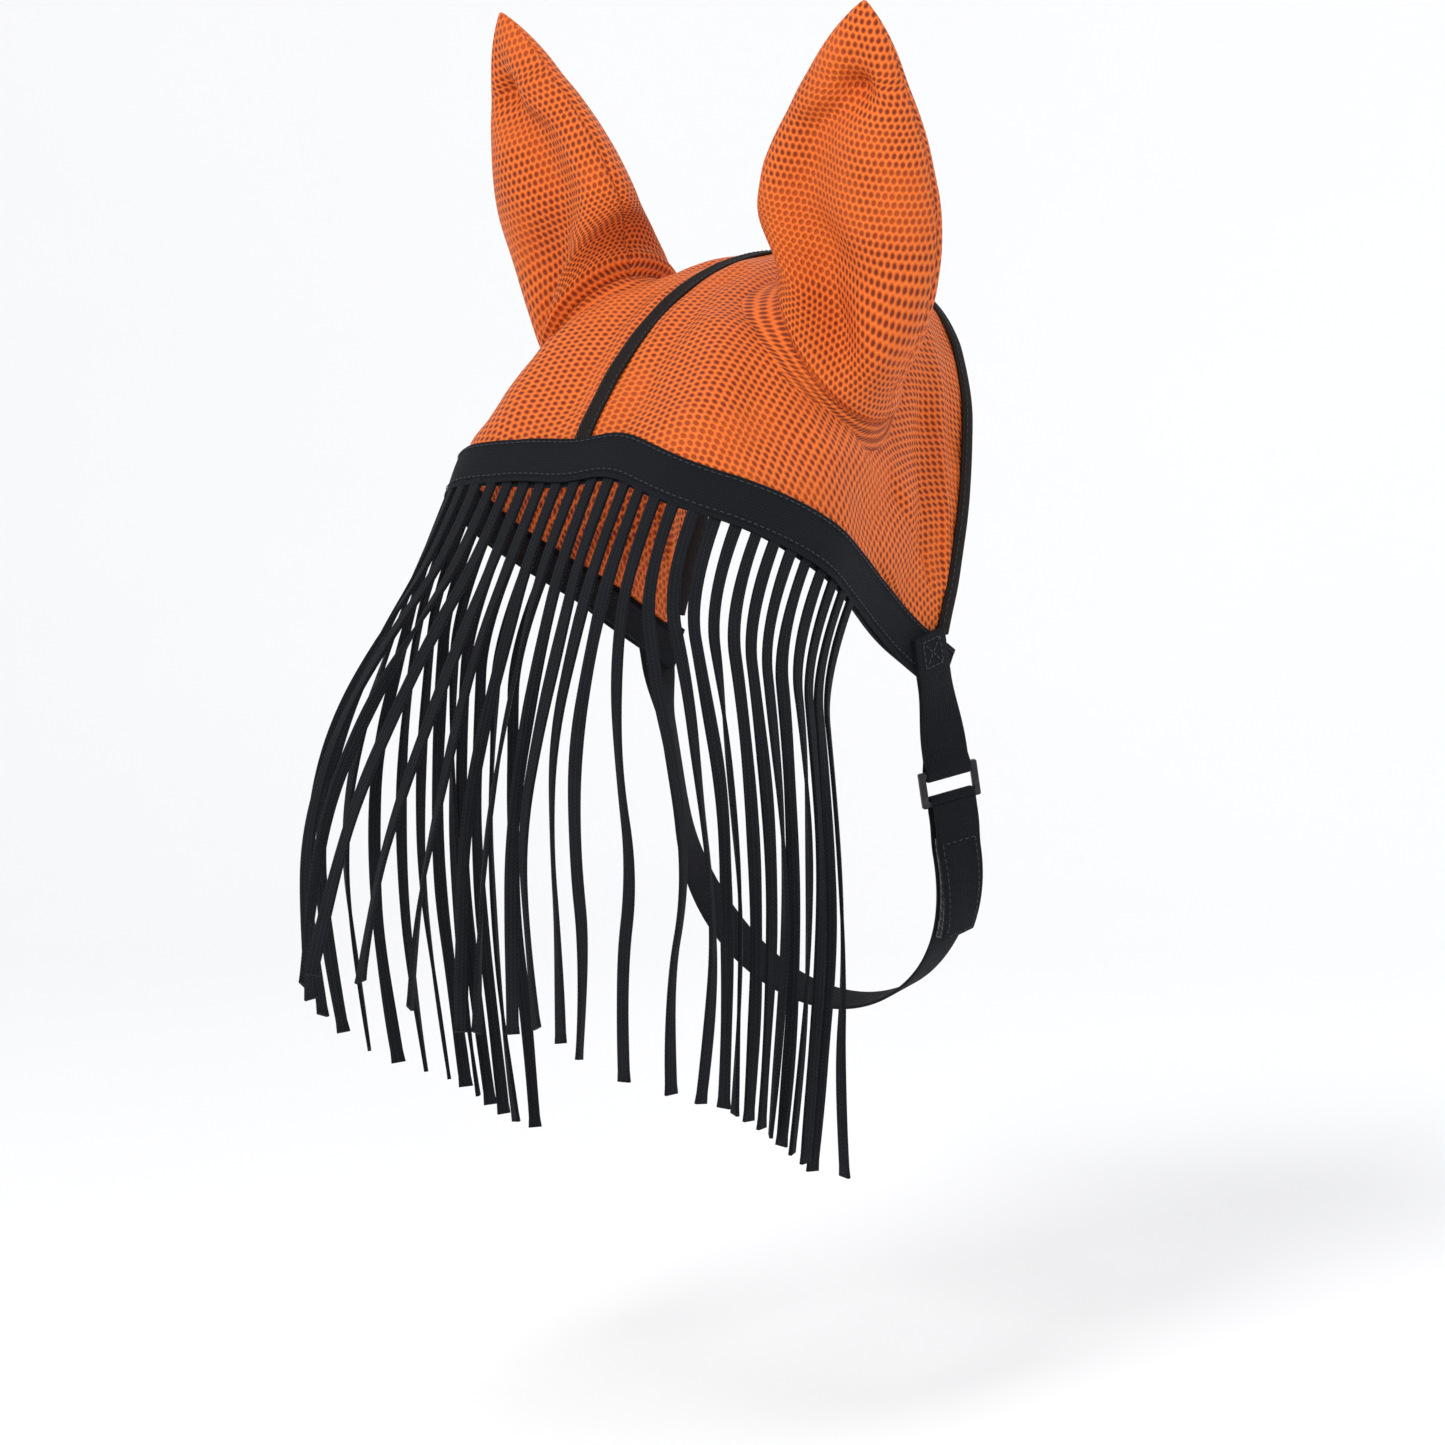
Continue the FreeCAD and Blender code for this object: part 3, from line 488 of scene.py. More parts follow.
def ribbon(name, path, across, width, thickness):
    """Flat tape along a path, a closed mesh with slightly rounded sides. across gives its
    width's direction at every point, and width is one value or one for every point."""
    rows, uvs = [], []
    profile = (
        (-0.5, -0.32), (-0.47, -0.5), (-0.2, -0.5), (0.2, -0.5), (0.47, -0.5), (0.5, -0.32),
        (0.5, 0.32), (0.47, 0.5), (0.2, 0.5), (-0.2, 0.5), (-0.47, 0.5), (-0.5, 0.32),
    )
    for index, (point, gone) in enumerate(zip(path, along_line(path))):
        before = path[max(index - 1, 0)]
        after = path[min(index + 1, len(path) - 1)]
        forward = (after - before).normalized()
        side = square_to(across[index], forward)
        out = forward.cross(side).normalized()
        wide = width[index] if isinstance(width, list) else width
        rows.append([point + side * (u * wide) + out * (v * thickness) for u, v in profile])
        uvs.append([(u * wide, gone) for u, _ in profile])
    piece = grid_piece(name, rows, uvs, around=True)
    work = bmesh.new()
    work.from_mesh(piece.data)
    layer = work.loops.layers.uv["cloth"]
    edges = [edge for edge in work.edges if edge.is_boundary]
    made = bmesh.ops.holes_fill(work, edges=edges, sides=0)
    for face in made["faces"]:
        face.smooth = False
        for loop in face.loops:
            other = loop.vert.link_loops[0]
            loop[layer].uv = other[layer].uv
    bmesh.ops.recalc_face_normals(work, faces=work.faces)
    work.to_mesh(piece.data)
    work.free()
    return piece


def stitches(name, path, outward, body, length=2.6 * MM, gap=1.1 * MM, radius=0.36 * MM,
             slot="thread", node=None):
    """Row of short raised threads along a path, each a small capsule."""
    vertices, faces, uvs = [], [], []
    place = 0.0
    lengths = along_line(path)

    def at(distance):
        index = bisect.bisect_left(lengths, distance, 1)
        share = (distance - lengths[index - 1]) / (lengths[index] - lengths[index - 1])
        return path[index - 1].lerp(path[index], share), outward[index]

    while place + length < lengths[-1]:
        start, out = at(place)
        stop, _ = at(place + length)
        forward = (stop - start).normalized()
        side = forward.cross(out).normalized()
        up = side.cross(forward)
        base = len(vertices)
        for share, fullness in ((0, 0.35), (0.2, 0.9), (0.5, 1.0), (0.8, 0.9), (1, 0.35)):
            centre = start.lerp(stop, share) + up * (radius * (fullness - 0.6))
            for corner in range(6):
                angle = corner * math.pi / 3
                offset = side * math.cos(angle) + up * math.sin(angle)
                vertices.append(centre + offset * (radius * fullness))
                uvs.append((corner * radius, share * length))
        for ring in range(base, base + 24, 6):
            for corner in range(6):
                after = ring + (corner + 1) % 6
                faces.append((ring + corner, after, after + 6, ring + 6 + corner))
        faces.append(tuple(range(base + 5, base - 1, -1)))
        faces.append(tuple(range(base + 24, base + 30)))
        place += length + gap
    dress(new_piece(name, vertices, faces, uvs), slot, body, node)


# ------------------------------------------------------------------ camera

AIM = Vector((3.8, -14.3, -236)) * MM
AZIMUTH, ELEVATION, DISTANCE = math.radians(41), math.radians(6), 2.6


def aimed(name, data, place):
    """Camera or lamp at a place, turned to look at the object."""
    item = bpy.data.objects.new(name, data)
    item.location = place
    item.rotation_euler = (AIM - item.location).to_track_quat("-Z", "Y").to_euler()
    bpy.context.scene.collection.objects.link(item)
    return item


camera_data = bpy.data.cameras.new("camera")
camera_data.lens = 124.5
camera_data.sensor_width = 36
camera_data.clip_end = 50
camera = aimed("camera", camera_data, AIM + DISTANCE * Vector((
    math.sin(AZIMUTH) * math.cos(ELEVATION),
    -math.cos(AZIMUTH) * math.cos(ELEVATION),
    math.sin(ELEVATION),
)))
bpy.context.scene.camera = camera

# ------------------------------------------------------------------ laces of the fringe

# Every lace, from the middle outwards: how far its end stands from its root sideways and
# backwards, its bow off the face, and its sway at four stations above its end, millimetres.
LACES_LEFT = [
    (64, -138, 16, 1, 2, 2, 1), (68, -130, 18, 1, 2, 1, 2), (73, -131, 22, 2, 1, -3, -1),
    (68, -120, 24, -2, -4, 0, 3), (60, -109, 26, -4, -6, -2, 4), (52, -80, 26, -6, -5, 2, -3),
    (42, -48, 26, -3, 2, 4, -5), (29, -27, 21, 1, -2, 1, 3), (14, -9, 15, -1, 1, -2, -1),
    (6, -7, 11, 0, -1, 1, 0), (2, -7, 12, 0, -1, -1, 0), (-1, -7, 11, 0, 1, 1, 0),
    (-4, -9, 12, -1, 0, 1, 0), (-5, -11, 10, 0, -1, 0, 1), (-7, -12, 12, 1, 0, -1, 0),
    (-6, -12, 10, 0, 1, 1, -1), (-6, -14, 12, -1, -1, 0, -2), (1, -3, 10, -2, -4, -5, -8),
]
LACES_RIGHT = [
    (-68, -140, 14, 0, -2, -4, -1), (-66, -161, 16, -1, 2, 3, -1), (-64, -181, 14, 2, 3, 1, -2),
    (-48, -187, 16, 0, 3, 1, 1), (-42, -176, 22, 1, 0, -2, 1), (-38, -156, 30, 2, 3, 1, -1),
    (-32, -133, 34, 1, 4, 2, -2), (-24, -104, 36, -1, 0, 2, 1), (-17, -76, 32, -2, 1, 2, -1),
    (-11, -50, 26, -1, 2, 0, 1), (-7, -30, 20, 1, 0, -1, 0), (-5, -17, 15, 0, 1, 2, 0),
    (-5, -12, 13, -1, 0, 1, -1), (-6, -12, 11, 0, -1, -1, 1), (-7, -13, 12, 1, 1, 0, 0),
    (-7, -13, 10, 0, 2, 1, -1), (-6, -14, 12, -1, 0, -1, 0), (-1, -6, 10, -2, -3, -2, -4),
]
LACE_STATIONS = (0.13, 0.29, 0.46, 0.64, 0.82, 1.0)
BAND_OUT = 2.8 * MM


def band_point(turn, down, out):
    """Point of the brow band, a distance down its width and outside the lining. The worn band
    rides up beside its middle, sags over the left temple and stands off the right one."""
    out += 3.2 * MM * swell(turn, 131, 15)
    low = (4.2 * swell(turn, 54, 12) - 6.0 * swell(turn, 77, 11)) * MM
    side, radius = arch_profile(0, turn, out)
    return CORNER + Vector((side, 0, 0)) + BAND_FORWARD * radius + BAND_DOWN * (down + low)


ARCH_TURNS = [90 - step / 8 for step in range(721)]
ARCH_PLACES = along_line([band_point(turn, 0, BAND_OUT) for turn in ARCH_TURNS])


def turn_at(distance):
    """Turn of the brow arch at a distance along it from the middle, left positive."""
    turn = ARCH_TURNS[bisect.bisect_left(ARCH_PLACES, abs(distance))]
    return turn if distance > 0 else 180 - turn


def lace_points(root, lace):
    """Points of one lace's middle line, from the band's edge to its cut end."""
    lean_out, lean_back, bow, *sways = lace
    side = math.copysign(1, root.x)
    turn = math.radians(90 * ease((abs(root.x) - LACE_FRONT) / LACE_ROUND))
    outward = Vector((side * math.sin(turn), -math.cos(turn), 0))
    sideways = Vector((-outward.y, outward.x, 0))
    start, *stations = LACE_STATIONS
    first = BAND_DOWN * (start * LACE_LENGTH)
    rest = Vector((side * lean_out, lean_back, 0)) * MM - Vector((first.x, first.y, 0))
    run = (1 - start) * LACE_LENGTH
    straight = 0.99 * run / (1 + (math.pi * bow * MM / (2 * run)) ** 2)
    rest.z = -math.sqrt(straight**2 - rest.x**2 - rest.y**2)
    points = [root, root + first]
    for station, sway in zip(stations, [*sways, 0]):
        share = (station - start) / (1 - start)
        bowed = outward * (bow * MM * math.sin(math.pi * share))
        points.append(root + first + rest * share + bowed + sideways * (sway * MM))
    return points, outward, sideways


def smooth_line(points, name):
    """Points along the NURBS spline that has these control points."""
    data = bpy.data.curves.new(name, "CURVE")
    data.dimensions = "3D"
    data.resolution_u = 16
    spline = data.splines.new("NURBS")
    spline.points.add(len(points) - 1)
    for item, point in zip(spline.points, points):
        item.co = (*point, 1)
    spline.order_u = 3
    spline.use_endpoint_u = True
    line = bpy.data.objects.new(name, data)
    mesh = bpy.data.meshes.new_from_object(line)
    path = [vertex.co.copy() for vertex in mesh.vertices]
    bpy.data.objects.remove(line)
    bpy.data.meshes.remove(mesh)
    return path


def make_lace(side_name, side, number, lace):
    """One flat braided lace, sewn under the band and hanging free to its square-cut end."""
    name = "%s_%02d" % (side_name, number + 1)
    turn = turn_at(side * LACE_PITCH * (number + 0.5))
    root = band_point(turn, BAND_WIDTH + LACE_GAP, BAND_OUT)
    points, outward, sideways = lace_points(root, lace)
    points[0] = root - BAND_DOWN * LACE_SEWN
    path = smooth_line(points, "line_" + name)
    places = along_line(path)
    edge = (band_point(turn - 1, 0, 0) - band_point(turn + 1, 0, 0)).normalized()
    wave = math.sin(number * 2.4 + 1.7 * side)
    across, widths = [], []
    for place in places:
        share = place / places[-1]
        loose = ease((share - 0.06) / 0.5)
        angle = math.radians(62 * wave * loose + 24 * math.sin(7 * share + number) * loose)
        flat = edge.lerp(sideways * (1 if edge.dot(sideways) > 0 else -1), loose).normalized()
        across.append(flat * math.cos(angle) + outward * math.sin(angle))
        slim = 1 - 0.06 * math.sin(19 * share + 2 * number)
        frayed = 0.16 * ease((place - places[-1] + 6 * MM) / (6 * MM))
        widths.append(LACE_WIDTH * (slim + frayed) * 0.96)
    piece = ribbon("braid_" + name, path, across, widths, LACE_THICKNESS)
    dress(piece, "braided_lace", node="lace_" + name)
    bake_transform(piece)


for (side_name, side), laces in zip(SIDES, (LACES_LEFT, LACES_RIGHT)):
    for number, lace in enumerate(laces):
        make_lace(side_name, side, number, lace)

# ------------------------------------------------------------------ bonnet panels


# The left ear's base on the bonnet, its turning seam, and its directions along to the tip,
# out of its opening and across its width.
EAR_MIDDLE = arch_point(EAR_PLACE_BACK, EAR_PLACE_SIDE, MESH)
EAR_NORMAL = bonnet_normal(EAR_PLACE_BACK, EAR_PLACE_SIDE)
EAR_SEAT = EAR_MIDDLE + EAR_NORMAL * EAR_SEAT_HEIGHT
EAR_ALONG = Vector((math.tan(EAR_LEAN_OUT), -math.tan(EAR_LEAN_FORWARD), 1)).normalized()
EAR_OPENING = square_to(Vector((math.sin(EAR_FACING), -math.cos(EAR_FACING), 0)), EAR_ALONG)
EAR_ACROSS = EAR_OPENING.cross(EAR_ALONG)


def seam_spoke(angle):
    """Direction from the middle of the ear's turning seam out to its round."""
    wide = square_to(EAR_ACROSS, EAR_NORMAL)
    return wide * math.cos(angle) + EAR_NORMAL.cross(wide) * math.sin(angle)


def crease(place, ridge, width, height):
    """Soft ridge or valley along a line of (fan, turn) points, in metres of height."""
    spot, *line = (Vector((fan * 2.6, turn / 60)) for fan, turn in (place, *ridge))
    gaps = []
    for start, stop in zip(line, line[1:]):
        run = stop - start
        share = min(max((spot - start).dot(run) / run.length_squared, 0), 1)
        gaps.append((start + run * share - spot).length)
    return height * MM * swell(min(gaps), 0, width)


# Folds of the worn mesh: the line of each in (fan, turn), its width and its height in mm.
CREASES = [
    (((0.02, 62), (0.18, 60), (0.32, 66)), 0.11, 2.6),
    (((0.03, 50), (0.14, 49), (0.24, 52)), 0.09, -2.4),
    (((0.04, 38), (0.18, 38), (0.3, 34)), 0.08, 2.2),
    (((0.05, 27), (0.2, 27), (0.42, 24)), 0.08, -2.0),
    (((0.1, 18), (0.3, 19), (0.62, 25)), 0.07, 2.6),
    (((0.55, 14), (0.66, 22), (0.78, 34)), 0.09, -2.2),
    (((0.8, 15), (0.86, 35), (0.9, 60)), 0.09, 2.0),
    (((0.05, 80), (0.3, 78), (0.5, 80)), 0.07, -1.6),
]


def bonnet_surface(fan, turn, side):
    """Point of the worn bonnet: the pattern's form with soft folds, near side or far side."""
    point = arch_point(fan, turn, MESH)
    normal = bonnet_normal(min(max(fan, 0.0), 1.0), min(max(turn, 3.0), 89.0))
    calm = ease((turn - 2) / 12) * ease((90 - turn) / 7) * ease((fan + 0.02) / 0.12)
    calm *= ease((1.02 - fan) / 0.1)
    shift = 0.035 if side > 0 else -0.03
    lift = 1.5 * sum(crease((fan + shift, turn + 30 * shift), *fold) for fold in CREASES)
    soft = noise.noise(point * 26 + Vector((side * 3.1, 0, 0)))
    fine = noise.noise(point * 70 + Vector((0, side * 5.3, 0)))
    lift += (2.0 * soft + 0.7 * fine) * MM
    away = (point - EAR_MIDDLE) - EAR_NORMAL * (point - EAR_MIDDLE).dot(EAR_NORMAL)
    lift += 2.2 * MM * swell(away.length, 62 * MM, 13 * MM)
    if side < 0:
        point = point + normal * (3.2 * MM * swell(turn, 49, 15) * (1 - ease(fan / 0.22)))
    return mirrored(point + normal * (lift * calm), side)


def cloth_uvs(rows, middle):
    """Cloth coordinates of a sheet's rows, measured along each row and up its middle column."""
    heights = along_line([line[middle] for line in rows])
    uvs = []
    for line, height in zip(rows, heights):
        along = along_line(line)
        uvs.append([(place - along[middle], height) for place in along])
    return uvs


def make_panel(side_name, side):
    """Spacer mesh panel from the corner over the temple to the middle seam, with its ear hole."""
    first_fan, seam_turn = -0.022, 89.85
    rows = []
    for share in steps(0, 1, 86):
        share **= 0.9
        radius = arch_profile(0, blend(trim_turn(0), seam_turn, share))[1]
        tuck = max(0.026, 5 * MM / (radius * (REAR_ANGLE - BROW_ANGLE)))
        fans = steps(-tuck, first_fan, 5)[:-1] + steps(first_fan, 1.0, 132)
        rows.append([bonnet_surface(fan, blend(trim_turn(fan), seam_turn, share), side)
                     for fan in fans])
    centre, axis = mirrored(EAR_MIDDLE, side), mirrored(EAR_NORMAL, side)
    hole_radius, hole_depth = EAR_BASE_RADIUS - 2.4 * MM, 40 * MM

    def in_hole(r, c):
        away = (rows[r][c] + rows[r + 1][c] + rows[r][c + 1] + rows[r + 1][c + 1]) / 4 - centre
        rise = away.dot(axis)
        return rise > -hole_depth and (away - axis * rise).length < hole_radius

    piece = cloth_piece("bonnet_mesh_" + side_name, rows, cloth_uvs(rows, 64), HEAD_MIDDLE, MESH,
                        0.5 * MM, "spacer_mesh", "bonnet", "bonnet_panel_" + side_name, in_hole)


for side_name, side in SIDES:
    make_panel(side_name, side)

# ------------------------------------------------------------------ ears

# Where the valley down the ear's opening lies across it, at heights from 0 to 1.
VALLEY = ((0.0, -0.30), (0.06, -0.28), (0.26, 0.04), (0.47, 0.38), (0.62, 0.38), (0.77, -0.12),
          (1.0, -0.1))


def through(table, place):
    """Smooth value of a short table of (place, value) pairs."""
    for (low, start), (high, stop) in zip(table, table[1:]):
        if place <= high:
            return blend(start, stop, ease((place - low) / (high - low)))
    return table[-1][1]


def ear_point(height, angle, side):
    """Point of the worn ear cover; height 0 at its seam to 1 at its tip, angle 0 at the inner
    edge, 90 at the middle of the opening and 180 at the outer edge."""
    share = max(1 - abs(height) ** 3, 0.0) * (1 + EAR_FULLNESS * swell(height, 0.5, 0.2))
    share += 0.18 * math.sqrt(max(1 - height, 0.0)) * ease((height - 0.75) / 0.25)
    half_width = blend(EAR_BASE_RADIUS, share * EAR_WIDTH / 2, ease(height / 0.22))
    half_depth = blend(EAR_BASE_RADIUS, share * EAR_DEPTH / 2, ease(height / 0.36))
    facing = EAR_NORMAL.lerp(EAR_ALONG, ease(height / 0.45)).normalized()
    wide = square_to(EAR_ACROSS, facing)
    deep = facing.cross(wide)
    centre = EAR_SEAT + EAR_ALONG * (height * EAR_LENGTH)
    across = math.cos(math.radians(angle))
    along = math.sin(math.radians(angle))
    rise = ease(height / 0.16)
    # The valley down the opening and the dimple near the tip, or the back's even bulge.
    if along > 0:
        valley = swell(across, through(VALLEY, height), 0.42)
        along *= 1 - 0.62 * valley * rise * ease((1.02 - height) / 0.3)
        along -= 0.5 * swell(height, 0.775, 0.035) * swell(across, -0.12, 0.3)
    else:
        along *= 1 + 0.10 * swell(across, 0, 0.5) * rise
    point = centre + wide * (half_width * across) + deep * (half_depth * along)
    # The two seams pull in, the mesh lies unevenly, and it puffs out just over its foot.
    seam = min(abs(angle % 180), 180 - abs(angle % 180))
    pull = 1.3 * MM * swell(seam, 0, 3.5) * rise * share
    outward = (point - centre).normalized()
    soft = noise.noise(point * 24 + Vector((0, 0, side * 2.7)))
    fine = noise.noise(point * 60 + Vector((side * 1.9, 0, 0)))
    lift = (1.6 * soft + 0.45 * fine) * MM * ease(height / 0.1) * min(share + 0.1, 1)
    foot = 2.6 * MM * swell(height, 0.045, 0.03) - 2.8 * MM * swell(max(height, 0.0), 0, 0.014)
    return mirrored(point + outward * (lift - pull + foot), side)


# Heights of the ear's rows, from inside its collar, closer together at the tip.
EAR_HEIGHTS = [-0.016, -0.008]
EAR_HEIGHTS += [(1 - (1 - share) ** 1.25) * 0.997 for share in steps(0, 1, 96)]


def make_ear_cover(side_name, side, half):
    """Front or back of an ear cover, one sheet of spacer mesh with its seams turned in."""
    start = 0.0 if half == "front" else 180.0
    rows = [[ear_point(height, angle, side) for angle in steps(start, start + 180.0, 61)]
            for height in EAR_HEIGHTS]
    name = "ear_%s_%s" % (side_name, half)
    inside = mirrored(EAR_SEAT + EAR_ALONG * (0.3 * EAR_LENGTH), side)
    piece = cloth_piece(name + "_mesh", rows, cloth_uvs(rows, 30), inside, MESH * 0.9, 0.0,
                        "spacer_mesh", None, name)
    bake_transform(piece)


def bonnet_inside(point, out):
    """Whether a point on the left half is inside the bonnet's form."""
    away = point - CORNER
    fan = (math.atan2(away.z, -away.y) - BROW_ANGLE) / (REAR_ANGLE - BROW_ANGLE)
    radius = math.hypot(away.y, away.z)
    power, reach, half_width = arch_form(fan, out)
    return (abs(away.x) / half_width(radius)) ** power + (radius / reach) ** power < 1


def drop_to_bonnet(point, out):
    """Where a line from a point, against the ear's axis, meets the bonnet."""
    drop = first_true(-20 * MM, 60 * MM, 26,
                      lambda d: bonnet_inside(point - EAR_NORMAL * d, out))[0]
    return point - EAR_NORMAL * drop


def make_collar(side_name, side):
    """Seam collar: the doubled mesh that rises from the bonnet to the ear cover's seam."""
    rows, uvs = [], []
    for share in steps(0, 1, 13):
        line = []
        for angle in steps(0, 2 * math.pi, 121):
            spoke = seam_spoke(angle)
            top = EAR_SEAT + EAR_NORMAL * (0.8 * MM) + spoke * (EAR_BASE_RADIUS - 1.8 * MM)
            low = drop_to_bonnet(EAR_SEAT + spoke * (EAR_BASE_RADIUS + 9 * MM), MESH + 0.6 * MM)
            bend = drop_to_bonnet(EAR_SEAT + spoke * (EAR_BASE_RADIUS + 1 * MM), MESH + 2.4 * MM)
            point = low.lerp(bend, share).lerp(bend.lerp(top, share), share)
            ripple = noise.noise(point * 85 + Vector((side, 0, 0))) * 1.1 * MM
            line.append(mirrored(point + EAR_NORMAL * (ripple * math.sin(math.pi * share)), side))
        rows.append(line)
        uvs.append([(place, 14 * MM * share) for place in along_line(line)])
    inside = mirrored(EAR_SEAT - EAR_NORMAL * (40 * MM), side)
    piece = cloth_piece("ear_%s_collar_mesh" % side_name, rows, uvs, inside, 1.4 * MM, 0.0,
                        "spacer_mesh", "bonnet", "ear_%s_seam_collar" % side_name)


def make_seam_stitches(side_name, side):
    """Stitches round the seam between the ear cover and its collar, in dark orange thread that is
    partly painted shade for the dark fold line under the ear.
    """
    spokes = [seam_spoke(angle) for angle in steps(0, 2 * math.pi, 121)]
    middle = EAR_SEAT + EAR_NORMAL * (0.1 * MM)
    path = [mirrored(middle + spoke * (EAR_BASE_RADIUS - 1.1 * MM), side) for spoke in spokes]
    outward = [mirrored(spoke, side) for spoke in spokes]
    stitches("ear_%s_seam_stitches" % side_name, path, outward, "bonnet", 2.8 * MM, 1.4 * MM,
             slot="orange_thread")


for side_name, side in SIDES:
    make_ear_cover(side_name, side, "front")
    make_ear_cover(side_name, side, "back")
    make_collar(side_name, side)
    make_seam_stitches(side_name, side)

# ------------------------------------------------------------------ brow band and tapes


def band_line(down, out):
    """Line along the brow band from past the left corner to past the right one."""
    left, right = (
        [CORNER + Vector((side * (CORNER_HALF_WIDTH + out), 0, 0)) - BAND_FORWARD * (tail * MM)
         + BAND_DOWN * down for tail in (8, 6, 4, 2)] for side in (1, -1))
    return left + [band_point(turn, down, out) for turn in steps(0, 180, 260)] + right[::-1]


def wave_at(place, down):
    """Small waves of a worn band: outwards and down its width."""
    out = 1.1 * math.sin(place * 46 + 0.6) + 0.7 * math.sin(place * 91 + 2.1)
    low = 1.0 * math.sin(place * 33 + 1.0) + 0.6 * math.sin(place * 72)
    roll = 0.9 * math.sin(place * 58 + down * 60)
    return (out + roll * (down / BAND_WIDTH - 0.5)) * MM, low * MM


def worn_line(down, base, rise, waves=1.0):
    """Line along the waved brow band, its distances, and its outward directions. It runs a
    distance down the band's width and rises off the band's base."""
    line = band_line(down, base)
    outer = band_line(down, base + 10 * MM)
    gone = along_line(line)
    placed, outward = [], []
    for point, far, place in zip(line, outer, gone):
        calm = ease(place / 0.03) * ease((gone[-1] - place) / 0.03) * waves
        out, low = wave_at(place, down)
        normal = (far - point).normalized()
        placed.append(point + normal * (rise + max(out, -0.4 * MM) * calm)
                      + BAND_DOWN * (low * calm))
        outward.append(normal)
    return placed, gone, outward


def make_band(name, node, base, thickness, profile, waves=1.0):
    """Tape along the brow arch. profile lists how far down its width each of its lines runs,
    and how far out of the tape's face it stands, in millimetres."""
    lines = [worn_line(down * MM, base, rise * MM, waves) for down, rise in profile]
    rows = list(zip(*(placed for placed, _, _ in lines)))
    uvs = [[(down * MM, place) for (down, _), place in zip(profile, places)]
           for places in zip(*(gone for _, gone, _ in lines))]
    cloth_piece(name, rows, uvs, CORNER + Vector((0, -0.08, 0.02)), thickness, 0.35 * MM,
                "webbing", "bonnet", node)


make_band("brow_band_webbing", "brow_band", BAND_OUT, WEBBING * 0.9, (
    (0, 1.3), (0.8, 1.6), (3, 1.5), (6, 1.6), (9, 1.7), (12.5, 1.7), (16, 1.6), (19, 1.5),
    (21.2, 1.4), (21.9, 1.0), (22.5, 1.5), (23.6, 1.75), (24.6, 1.6), (25, 1.2)))
make_band("lace_header_webbing", "lace_header_tape", 0.0, 2.0 * MM,
          [(down, 2.2) for down in (9, 13, 17, 21, 25)], 0.0)
for name, down in (("band_stitches_top", 2.2), ("band_stitches_low", 20.6)):
    placed, _, outward = worn_line(down * MM, BAND_OUT, 1.75 * MM)
    stitches(name, placed, outward, "bonnet")


def make_centre_tape():
    """Tape over the middle seam, from the brow band to the rear binding, and its stitches."""
    path, outward = [], []
    for fan in steps(-0.005, 0.975, 90):
        normal = bonnet_normal(fan, 90)
        ripple = 0.5 * MM * noise.noise(Vector((fan * 14, 0.4, 0)))
        sway = 0.8 * MM * noise.noise(Vector((fan * 5, 3.4, 0)))
        path.append(arch_point(fan, 90, MESH) + normal * (0.9 * MM + ripple)
                    + Vector((sway, 0, 0)))
        outward.append(normal)
    across = [Vector((1, 0, 0))] * len(path)
    tape = ribbon("centre_tape_woven", path, across, 10 * MM, 1.1 * MM)
    dress(tape, "seam_tape", "bonnet", "centre_seam_tape")
    for side_name, side in SIDES:
        row = [point + Vector((side * 3.7 * MM, 0, 0)) + normal * (0.55 * MM)
               for point, normal in zip(path, outward)]
        stitches("tape_stitches_" + side_name, row, outward, "bonnet", 2.4 * MM, 1.0 * MM,
                 0.28 * MM)


make_centre_tape()


def make_binding():
    """Tape folded round the rear edge, and its stitches on the outside."""
    turns = steps(trim_turn(1.0) - 2, 182 - trim_turn(1.0), 170)
    profile = [(-9, 4.1), (-6, 4.6), (-3, 4.7), (-0.4, 4.3), (1.1, 3.2), (1.7, 1.3), (1.2, -0.7),
               (-0.3, -1.6), (-3, -1.8), (-6, -1.8), (-9, -1.5)]
    rows, uvs, path, outward = [], [], [], []
    edges = [arch_point(1.0, turn) for turn in turns]
    for turn, edge, gone in zip(turns, edges, along_line(edges)):
        normal = bonnet_normal(1.0, min(max(turn, 4.0), 176.0), 0.0)
        back = square_to(arch_point(1.01, turn) - arch_point(0.99, turn), normal)
        puff = 1 + 0.16 * noise.noise(edge * 55)
        shift = 0.7 * MM * noise.noise(edge * 30 + Vector((4, 0, 0)))
        line = [edge + back * (b * MM + shift) + normal * ((1.25 + (n - 1.25) * puff) * MM)
                for b, n in profile]
        rows.append(line)
        uvs.append([(width, gone) for width in along_line(line)])
        path.append(edge - back * (6.4 * MM - shift) + normal * (4.75 * MM * puff))
        outward.append(normal)
    cloth_piece("rear_binding_tape", rows, uvs, HEAD_MIDDLE, 0.9 * MM, 0.2 * MM, "seam_tape",
                "bonnet", "rear_binding")
    stitches("binding_stitches", path, outward, "bonnet", 2.6 * MM, 1.2 * MM, 0.3 * MM)


make_binding()

# ------------------------------------------------------------------ throat strap

# In the strap's own frame x runs from the middle plane of the head outwards and y upwards from
# the corner. FOLD is the inner radius of the webbing round the ring's bars.
FOLD = 2.46 * MM
HALF_PLY = WEBBING / 2
STRAP_IN, BAR_X = 94.7 * MM, 96.3 * MM
STRAP_HEAD, UPPER_BAR, LOWER_BAR, BEND = 10 * MM, -64 * MM, -79.6 * MM, -108 * MM
STRAP_LEFT, STRAP_RIGHT = BAR_X - FOLD - HALF_PLY, STRAP_IN + HALF_PLY
STRAP_MIDDLE, STRAP_RADIUS = (STRAP_LEFT - STRAP_RIGHT) / 2, (STRAP_LEFT + STRAP_RIGHT) / 2
STRAP_TURN = math.radians(25)
TURN_START, TURN_FULL = -16 * MM, UPPER_BAR + 10 * MM
TURN_HELD, TURN_END = LOWER_BAR - 10 * MM, BEND - 72 * MM


